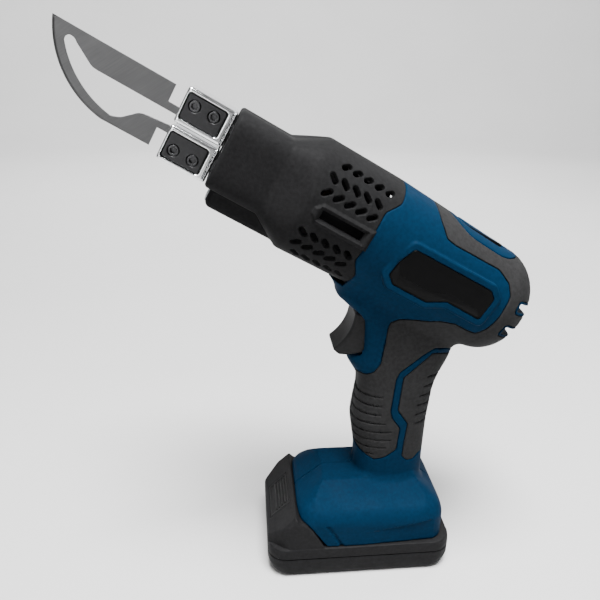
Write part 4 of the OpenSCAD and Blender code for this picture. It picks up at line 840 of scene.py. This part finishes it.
BADGE_ARRIS = 0.3
BAND = [(38.2, -2.6), (41.5, -9.2), (62.5, -9.3), (72.0, -5.4), (90.0, -5.6), (94.0, -9.0), (73.0, -9.0),
        (62.8, -14.5), (41.6, -14.5), (37.4, -11.2)]
BAND_ROOT, BAND_SIDE, BAND_TOP, BAND_ARRIS = BADGE_Y - 0.2, BADGE_Y + 0.06, BADGE_Y + 0.12, 0.1
badge_line, band_line = rounded(BADGE, 2.2), rounded(BAND, 0.8, 4)
badge_rings = [(badge_line, BADGE_Y - BADGE_T), (badge_line, BADGE_Y - BADGE_ARRIS),
               (inset(badge_line, BADGE_ARRIS), BADGE_Y)]
band_rings = [(band_line, BAND_ROOT), (band_line, BAND_SIDE), (inset(band_line, BAND_ARRIS), BAND_TOP)]
for name, sign in (("left", 1), ("right", -1)):
    badge = plate(f"badge_plate_{name}", badge_rings, on_side(sign), True)
    dress(badge, "tool", "badge_black", f"badge_{name}")
    band = plate(f"badge_band_{name}", band_rings, on_side(sign), True)
    band.data.materials.append(MATERIALS["badge_grey"])
    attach(band, "tool")

TOP_FIT, RING_T, LIP_T = 0.1, 1.0, 2.7


def insert_form(x, y, z):
    """Black ring in the slot on top of the rear barrel, with a lip round its inner edge."""
    s, h = in_barrel(x, z)
    slot = top_stadium(s, y, *TOP_SLOT)
    outer, inner, up = slot + TOP_FIT, slot + TOP_RING - TOP_FIT, h - TOP_FLOOR
    ring = round_max(round_max(outer, -inner, 0.2), np.abs(up - RING_T / 2) - RING_T / 2, 0.25)
    lip = round_max(round_max(inner - TOP_LIP, -inner, 0.2), np.abs(up - LIP_T / 2) - LIP_T / 2, 0.2)
    return join(ring, lip)


insert_room = room_round(sum(TOP_SLOT[:2]) / 2, TOP_FLOOR, (19, 13), (-11, 11))
add_piece("top_insert_ring", insert_form, insert_room, 0.45, "tool", "insert_black", "top_insert")

LENS_BOX = (-64.3, -7.5, -27.85), (-61.0, 7.5, -22.35)
FLUTE_H, FLUTE_PITCH = 0.18, 1.8


def lens_form(x, y, z):
    """Lamp lens with upright flutes on its front."""
    s, h = in_barrel(x, z)
    flutes = FLUTE_H * np.cos(2 * math.pi * y / FLUTE_PITCH)
    return rounded_box((s + flutes, y, h), *LENS_BOX, 0.7)


lens_room = room_round(-62.5, -25.1, (6, 6), (-8.5, 8.5))
add_piece("lamp_lens_clear", lens_form, lens_room, 0.4, "tool", "lamp_clear", "lamp_lens")


# Clamps and blade

CLAMP = (-95.6, -10.0, 0.7), (-68.6, 20.0, 19.9)
JAW, JAW_R, JAW_FACE = ((-94.7, 3.1), (-72.6, 18.1)), 2.0, -9.4
TRAY_INSET, JAW_INSET = 0.3, 0.6
LINE_S, LINE_HALF, LINE_DEPTH = -70.3, 0.3, 0.7
BLADE_T = 1.2
SLIT_H, SLIT_HALF, SLIT_END = 5.1, (BLADE_T / 2 + 0.1, 2.2), -90.0
SCREW_S, SCREW_H = (-89.2, -78.6), 12.2
HOLE_R, SINK_R, SINK_FLOOR = 2.1, 3.1, -5.4
CAP_R, CAP_Y, CAP_HALF, SHANK_R, SHANK_HALF = 2.9, -7.4, 1.8, 1.8, 6.0
HEX_HALF, HEX_FLOOR, HEX_TURNS = 1.45, -6.6, [math.radians(a) for a in (15, 75, 135)]


def jaw_edge(s, h):
    """Outline of a jaw plate's place in the side view."""
    return rounded_box((s, h), *JAW, JAW_R)


def clamp_block(x, y, z, up):
    """Chrome block with a tray for the jaw plate in its near face."""
    s, h = in_barrel(x, z)
    h = up * h
    block = rounded_box((s, y, h), *CLAMP, 1.6)
    line = meet(np.abs(s - LINE_S) - LINE_HALF, -block - LINE_DEPTH)
    block = round_max(block, -line, 0.15)
    tray = meet(jaw_edge(s, h) + TRAY_INSET, y - BLADE_T / 2)
    slit = meet(slab((y, h - SLIT_H), SLIT_HALF), s - SLIT_END)
    return round_max(round_max(block, -tray, 0.5), -slit, 0.1)


def clamp_plate(x, y, z, up):
    """Dark jaw plate with two sunk screw holes."""
    s, h = in_barrel(x, z)
    h = up * h
    thick = meet(JAW_FACE - y, y + BLADE_T / 2)
    form = round_max(jaw_edge(s, h) + JAW_INSET, thick, 0.6)
    for place in SCREW_S:
        away = np.hypot(s - place, h - SCREW_H)
        form = round_max(form, -meet(away - SINK_R, y - SINK_FLOOR), 0.35)
        form = round_max(form, HOLE_R - away, 0.2)
    return form


def socket_screw(u, y, v):
    """Hex-socket cap screw along y."""
    away = np.hypot(u, v)
    head = round_max(away - CAP_R, np.abs(y - CAP_Y) - CAP_HALF, 0.45)
    shank = meet(away - SHANK_R, np.abs(y) - SHANK_HALF)
    hexagon = np.maximum.reduce([np.abs(u * math.cos(t) + v * math.sin(t)) for t in HEX_TURNS]) - HEX_HALF
    return round_max(join(head, shank), -meet(hexagon, y - HEX_FLOOR), 0.15)


def screws_field(x, y, z):
    """The four clamp screws."""
    s, h = in_barrel(x, z)
    return np.minimum.reduce([socket_screw(s - place, y, h - up * SCREW_H)
                              for place in SCREW_S for up in (-1, 1)])


for name, up in (("upper", 1), ("lower", -1)):
    clamp_room = room_round(-82.6, up * 10.6, (20, 18), (-11.5, 21.5))
    for part, field, finish in (("block", clamp_block, "clamp_chrome"), ("plate", clamp_plate, "jaw_dark")):
        field = functools.partial(field, up=up)
        add_piece(f"clamp_{part}_{name}", field, clamp_room, 0.45, "tool", finish, f"{name}_clamp_{part}")
screws_room = room_round(-83.9, 0, (16, 20), (-10.5, 7.5))
add_piece("clamp_screw_set", screws_field, screws_room, 0.3, "tool", "black_oxide", "clamp_screws")


def arc_between(p, q, r, steps):
    """Points of the arc of radius r from p to q, bulging to the left of the way."""
    p, q = np.array(p, float), np.array(q, float)
    span = np.linalg.norm(q - p)
    way = (q - p) / span
    centre = (p + q) / 2 + math.sqrt(r * r - span * span / 4) * np.array([way[1], -way[0]])
    start = math.atan2(p[1] - centre[1], p[0] - centre[0])
    turn = 2 * math.asin(span / 2 / r)
    return [tuple(centre + r * np.array([math.cos(a), math.sin(a)]))
            for a in start - turn * np.linspace(0.0, 1.0, steps)]


def smooth_line(points, steps):
    """Points of a smooth curve through a few given ones."""
    points = np.array([points[0], *points, points[-1]], float)
    result = []
    for a, b, c, d in zip(points, points[1:], points[2:], points[3:]):
        for t in np.arange(steps) / steps:
            result.append(tuple(0.5 * (2 * b + (c - a) * t + (2 * a - 5 * b + 4 * c - d) * t ** 2
                                       + (3 * b - a - 3 * c + d) * t ** 3)))
    return result + [tuple(points[-1])]


EDGE_STEPS = 36
cutting_edge = arc_between((-128.2, -17.3), (-166.7, 16.5), 47.4, EDGE_STEPS)[::-1]
inner_edge = arc_between((-124.7, -13.3), (-157.7, 8.3), 47.0, 30)
hump = smooth_line([(-106.0, -3.9), (-111.8, -4.8), (-116.0, -8.2), (-120.0, -11.6), (-124.7, -13.3)], 6)
window_tip = smooth_line([inner_edge[-1], (-157.7, 10.2), (-156.2, 11.7), (-153.7, 11.5), (-151.9, 10.1)], 5)
upper_neck = [(-73.6, 3.0), (-73.6, 7.2), (-102.2, 7.2), (-102.2, 16.5)]
lower_neck = [(-101.8, -17.3), (-101.8, -7.2), (-73.6, -7.2), (-73.6, -3.0), (-95.6, -3.0)]
window_top = [(-142.4, 4.1), (-140.7, 3.45), (-138.4, 3.25)]
blade_line = np.array(upper_neck + cutting_edge + lower_neck + hump + inner_edge[1:-1] + window_tip
                      + window_top)

# The curved edge is ground to a bevel on both faces
GROUND, GROUND_EDGE, ARRIS, GROUND_START = 1.3, 0.12, 0.12, (-164.0, 16.4)
first = len(upper_neck)
ground = np.zeros(len(blade_line), bool)
ground[first:first + EDGE_STEPS] = True
flat = np.where(ground[:, None], inset(blade_line, GROUND), inset(blade_line, ARRIS))
flat[first] = GROUND_START
edge = np.where(ground, GROUND_EDGE / 2, BLADE_T / 2 - ARRIS)
blade_rings = [(flat, BLADE_T / 2), (blade_line, edge), (blade_line, -edge), (flat, -BLADE_T / 2)]
dress(plate("blade_loop", blade_rings, on_side(-1)), "tool", "blade_steel", "blade")


# Trigger

trigger_edge = Outline([(-8, 167.2), (4, 166.8), (4, 141.7), (-9, 140.2), (-14, 140.8), (-18.4, 145.2)], 0.7)
TRIGGER_HALF = 12.0
SCOOP_X, SCOOP_Z, SCOOP_R = -33.5, 168.0, 28.5
PLUNGER_X, PLUNGER_R, PLUNGER_HALF = 9.0, 2.8, 5.4


def trigger_form(x, y, z):
    """Trigger with a hollow front, and the plunger behind it."""
    form = round_max(trigger_edge(x, z), SCOOP_R - np.hypot(x - SCOOP_X, z - SCOOP_Z), 1.2)
    form = round_max(form, np.abs(y) - TRIGGER_HALF, 2.4)
    plunger = meet(np.hypot(y, z - TRIGGER_Z) - PLUNGER_R, np.abs(x - PLUNGER_X) - PLUNGER_HALF)
    return join(form, plunger)


trigger_room = (-22, -14, 136), (17, 14, 171)
add_piece("trigger_lever", trigger_form, trigger_room, 0.6, "trigger", "trigger_grey", "trigger")


# Battery pack

PACK_HALF = (58.0, 38.0)
PACK_CORNER, PACK_H, PACK_SPLIT, SPLIT_GAP = 12.0, 21.0, 14.0, 0.01
CELL_Z, CELL_HALF = 10.55, (49.0, 35.2, 9.05)
CASE_SCREW, WELL_R, WELL_TOP, BORE_R, BORE_TOP = (52.6, 20.0), 2.7, 2.0, 1.5, 18.0
FACE_X, FACE_Z = -58.0, 25.3
SLOPE = math.radians(44.17)
FACE_SIN, FACE_COS = math.sin(SLOPE), math.cos(SLOPE)
BUTTON_U, BUTTON_HALF, BUTTON_W = 11.77, 8.0, 15.0
BUTTON_FIT, WINDOW_DEPTH = 0.3, 4.4
RAIL_FRONT, RAIL_BACK = -30.5, 38.0
RAIL_NECK = (RAIL_FRONT - 0.5, -20.0, 18.0), (RAIL_BACK, 20.0, 27.0)
RAIL_HEAD = (RAIL_FRONT, -24.0, 26.3), (RAIL_BACK, 24.0, 33.0)
CONTACTS, CONTACT_HALF, CONTACT_FRONT, CONTACT_FLOOR = (-12.0, -4.0, 4.0, 12.0), 1.8, 24.0, 26.8
RAIL_ROOM_HALF, SHELF_HALF = (15.3, 23.5, 6.0), (17.8, 23.5, 1.5)

# Height, how far the ends and the sides turn in
pack_turn = Profile([(-2.0, 4.2, 2.6), (0.0, 4.2, 2.4), (3.0, 1.9, 0.7), (8.0, 0.2, 0.0), (17.0, 0.0, 0.0),
                     (21.0, 0.5, 0.5), (23.0, 0.9, 0.9)], 0.8)


def pack_plan(x, y, z):
    """Sides of the pack below its deck."""
    ends, sides = pack_turn(z)
    return round_max(np.abs(x) - PACK_HALF[0] + ends, np.abs(y) - PACK_HALF[1] + sides, PACK_CORNER)


def cell_room(x, y, z):
    """Hollow for the cells."""
    return slab((x, y, z - CELL_Z), CELL_HALF)


def case_screw(x, y):
    """Distance from the nearest of the four case screws' axes."""
    return np.hypot(np.abs(x) - CASE_SCREW[0], np.abs(y) - CASE_SCREW[1])


def screw_bores(form, x, y, z):
    """Bores the holes for the case screws' shanks."""
    return meet(form, join(BORE_R - case_screw(x, y), BORE_TOP - z))


def lower_case(x, y, z):
    """Tray of the pack, with the four screw heads sunk into its underside."""
    form = round_max(pack_plan(x, y, z), -z, 1.0)
    form = round_max(form, z - PACK_SPLIT + SPLIT_GAP, 0.04)
    form = meet(form, -cell_room(x, y, z))
    form = round_max(form, -meet(case_screw(x, y) - WELL_R, z - WELL_TOP), 0.3)
    return screw_bores(form, x, y, z)


# Outline of the raised front, a little clear of the foot
FRONT_GAP = 0.6
front_back = [(a - FRONT_GAP, b) for a, b in foot_cut[:1:-1]]
front_edge = Outline([(-78, 19), (-78, 47.3)] + front_back + [(-21.6, 19)], 0.7)
CORNER_HALF, CORNER_WAY = 27.35, (0.792, 0.611)
FRONT_INSET, FRONT_DRAFT, FRONT_ROOT = 0.8, 0.12, PACK_H - 1.0
FRONT_WALL, FRONT_FLOOR, FRONT_FOOT = 2.4, 1.5, PACK_SPLIT + 2.0


def on_face(x, z):
    """Place up the slanted face and height above it."""
    dx, dz = x - FACE_X, z - FACE_Z
    return dx * FACE_COS + dz * FACE_SIN, dz * FACE_COS - dx * FACE_SIN


def front_form(x, y, z, shrink=0.0):
    """Raised front of the pack, with its corners cut back towards the slanted face."""
    corner = CORNER_WAY[0] * (np.abs(y) - CORNER_HALF) - CORNER_WAY[1] * (x - FACE_X)
    form = round_max(on_face(x, z)[1], FACE_X - x, 1.2)
    form = round_max(form, corner, 1.2)
    form = round_max(form, np.abs(y) - PACK_HALF[1] + FRONT_INSET + FRONT_DRAFT * (z - PACK_H), 2.5)
    form = round_max(form, front_edge(x, z), 0.8)
    return meet(form + shrink, FRONT_ROOT + FRONT_FLOOR * (shrink > 0) - z)


def rail(x, y, z):
    """Slide rail with slots for the contacts, and the hollow under it."""
    point = (x, y, z)
    form = join(rounded_box(point, *RAIL_NECK, 0.5), rounded_box(point, *RAIL_HEAD, 0.8))
    for place in CONTACTS:
        slot = meet(np.abs(y - place) - CONTACT_HALF, CONTACT_FRONT - x, CONTACT_FLOOR - z)
        form = round_max(form, -slot, 0.3)
    hollow = slab((y, x + 1.0, z - 25.0), RAIL_ROOM_HALF)
    shelf = slab((y, x + 1.0, z - 20.0), SHELF_HALF)
    return form, join(hollow, shelf)


def upper_case(x, y, z):
    """Deck, rail and raised front of the pack."""
    deck = round_max(pack_plan(x, y, z), z - PACK_H, 0.6)
    deck = round_max(deck, PACK_SPLIT + SPLIT_GAP - z, 0.04)
    u, w = on_face(x, z)
    front = meet(front_form(x, y, z), -front_form(x, y, z, FRONT_WALL))
    window = slab((u - BUTTON_U, y), (BUTTON_HALF + BUTTON_FIT, BUTTON_W + BUTTON_FIT))
    front = round_max(front, -meet(window, -w - WINDOW_DEPTH), 0.4)
    slide, hollow = rail(x, y, z)
    form = round_min(join(deck, slide), meet(front, FRONT_FOOT - z), 0.5)
    form = meet(form, -join(hollow, cell_room(x, y, z)))
    return screw_bores(form, x, y, z)


tray_room = (-62, -41, -3), (62, 41, 17)
add_piece("battery_tray", lower_case, tray_room, 1.0, "battery", "pack_black", "battery_case_lower")
deck_room = (-62, -41, 12), (62, 41, 46)
add_piece("battery_deck", upper_case, deck_room, 0.9, "battery", "pack_black", "battery_case_upper")

# Heights above the slanted face
BUTTON_BACK, BUTTON_RIM, DISH_FLOOR, RIB_TOP, FLANGE_FACE = -4.2, 0.2, -0.7, 0.45, -2.7
RIBS, RIB_HALF = (-2.2, 0.3, 2.8, 5.3), 0.7


def button_form(x, y, z):
    """Release button with a raised border and ribs across its upper part."""
    u, w = on_face(x, z)

    def box(first, last, half, bottom, top, r):
        return rounded_box((u - BUTTON_U, y, w), (first, -half, bottom), (last, half, top), r)

    panel = box(-BUTTON_HALF, BUTTON_HALF, BUTTON_W, BUTTON_BACK, BUTTON_RIM, 0.7)
    dish = box(-BUTTON_HALF + 1.3, BUTTON_HALF - 1.3, BUTTON_W - 1.5, DISH_FLOOR, 6.0, 0.5)
    panel = round_max(panel, -dish, 0.3)
    for place in RIBS:
        rib = box(place - RIB_HALF, place + RIB_HALF, BUTTON_W - 2.6, -2.0, RIB_TOP, 0.5)
        panel = round_min(panel, rib, 0.3)
    flange = box(-BUTTON_HALF - 1.2, BUTTON_HALF, BUTTON_W + 1.2, BUTTON_BACK, FLANGE_FACE, 0.3)
    return join(panel, flange)


button_room = (-62, -18, 18), (-36, 18, 45)
add_piece("release_panel", button_form, button_room, 0.5, "release_button", "trigger_grey", "release_button")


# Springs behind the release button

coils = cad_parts["latch_springs"].copy()
coils.data = coils.data.copy()
coils.name = "latch_coils"
coils.data.materials.clear()
bpy.context.scene.collection.objects.link(coils)
dress(coils, "battery", "screw_steel", "latch_springs")
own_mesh(coils)


# Camera, light and floor

CAMERA_PLACE = Vector((-63.97, -324.49, 298.0)) * MM
CAMERA_YAW, CAMERA_PITCH, CAMERA_ROLL = (math.radians(v) for v in (4.94, 21.22, 0.31))


def add_camera():
    """Camera at the photograph's angle."""
    axes = (Matrix.Rotation(-CAMERA_YAW, 4, "Z") @ Matrix.Rotation(math.pi / 2 - CAMERA_PITCH, 4, "X")
            @ Matrix.Rotation(CAMERA_ROLL, 4, "Z"))
    data = bpy.data.cameras.new("camera")
    data.lens, data.sensor_width = 36.0, 36.0
    data.clip_start, data.clip_end = 0.02, 50.0
    obj = add_object("camera", data)
    obj.matrix_world = Matrix.Translation(CAMERA_PLACE) @ axes
    bpy.context.scene.camera = obj


def add_softbox(name, place, target, size, power):
    """Square area light that faces a target."""
    data = bpy.data.lights.new(name, "AREA")
    data.size, data.energy = size, power
    obj = add_object(name, data)
    obj.location = place
    obj.rotation_euler = (Vector(target) - Vector(place)).to_track_quat("-Z", "Y").to_euler()


FLOOR_R, SWEEP_R, WALL_TOP = 2.2, 1.4, 3.2
FLOOR_SEGMENTS, FLOOR_GREY = 96, (0.5, 0.5, 0.5)


def add_floor():
    """Pale studio floor that sweeps up into a round backdrop."""
    turns = np.linspace(0.0, math.pi / 2, 17)
    profile = [(FLOOR_R + SWEEP_R * math.sin(t), SWEEP_R * (1 - math.cos(t))) for t in turns]
    profile.append((FLOOR_R + SWEEP_R, WALL_TOP))
    angles = np.arange(FLOOR_SEGMENTS) * 2 * math.pi / FLOOR_SEGMENTS
    rings = [[(r * math.cos(a), r * math.sin(a), z) for a in angles] for r, z in profile]
    mesh = ring_mesh("floor", rings, False)
    mesh.shade_smooth()
    mat = new_shader("floor_pale", FLOOR_GREY, 0.85, shine=0.1)
    tint(mat, noise(mat, 3.0), FLOOR_GREY, 0.98, 1.02)
    mesh.materials.append(mat)
    obj = add_object("floor", mesh)
    obj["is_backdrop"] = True


def add_world():
    """Even pale light from all round."""
    world = bpy.data.worlds.new("studio")
    world.use_nodes = True
    back = world.node_tree.nodes["Background"]
    back.inputs["Color"].default_value = (1.0, 1.0, 1.0, 1.0)
    back.inputs["Strength"].default_value = 0.15
    bpy.context.scene.world = world


add_camera()
add_softbox("key", (0.05, -0.3, 1.4), (0.0, 0.0, 0.15), 0.6, 98.0)
add_softbox("fill", (-0.5, -1.4, 0.55), (0.0, 0.0, 0.15), 0.7, 9.0)
add_softbox("rim", (0.9, 0.7, 1.0), (0.0, 0.0, 0.15), 0.6, 8.0)
add_softbox("backdrop", (0.0, 1.2, 1.9), (0.0, 3.6, 0.7), 1.6, 150.0)
add_floor()
add_world()

low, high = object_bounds()
{"cad": [list(cad_low), list(cad_high)], "visual": [list(low), list(high)]}
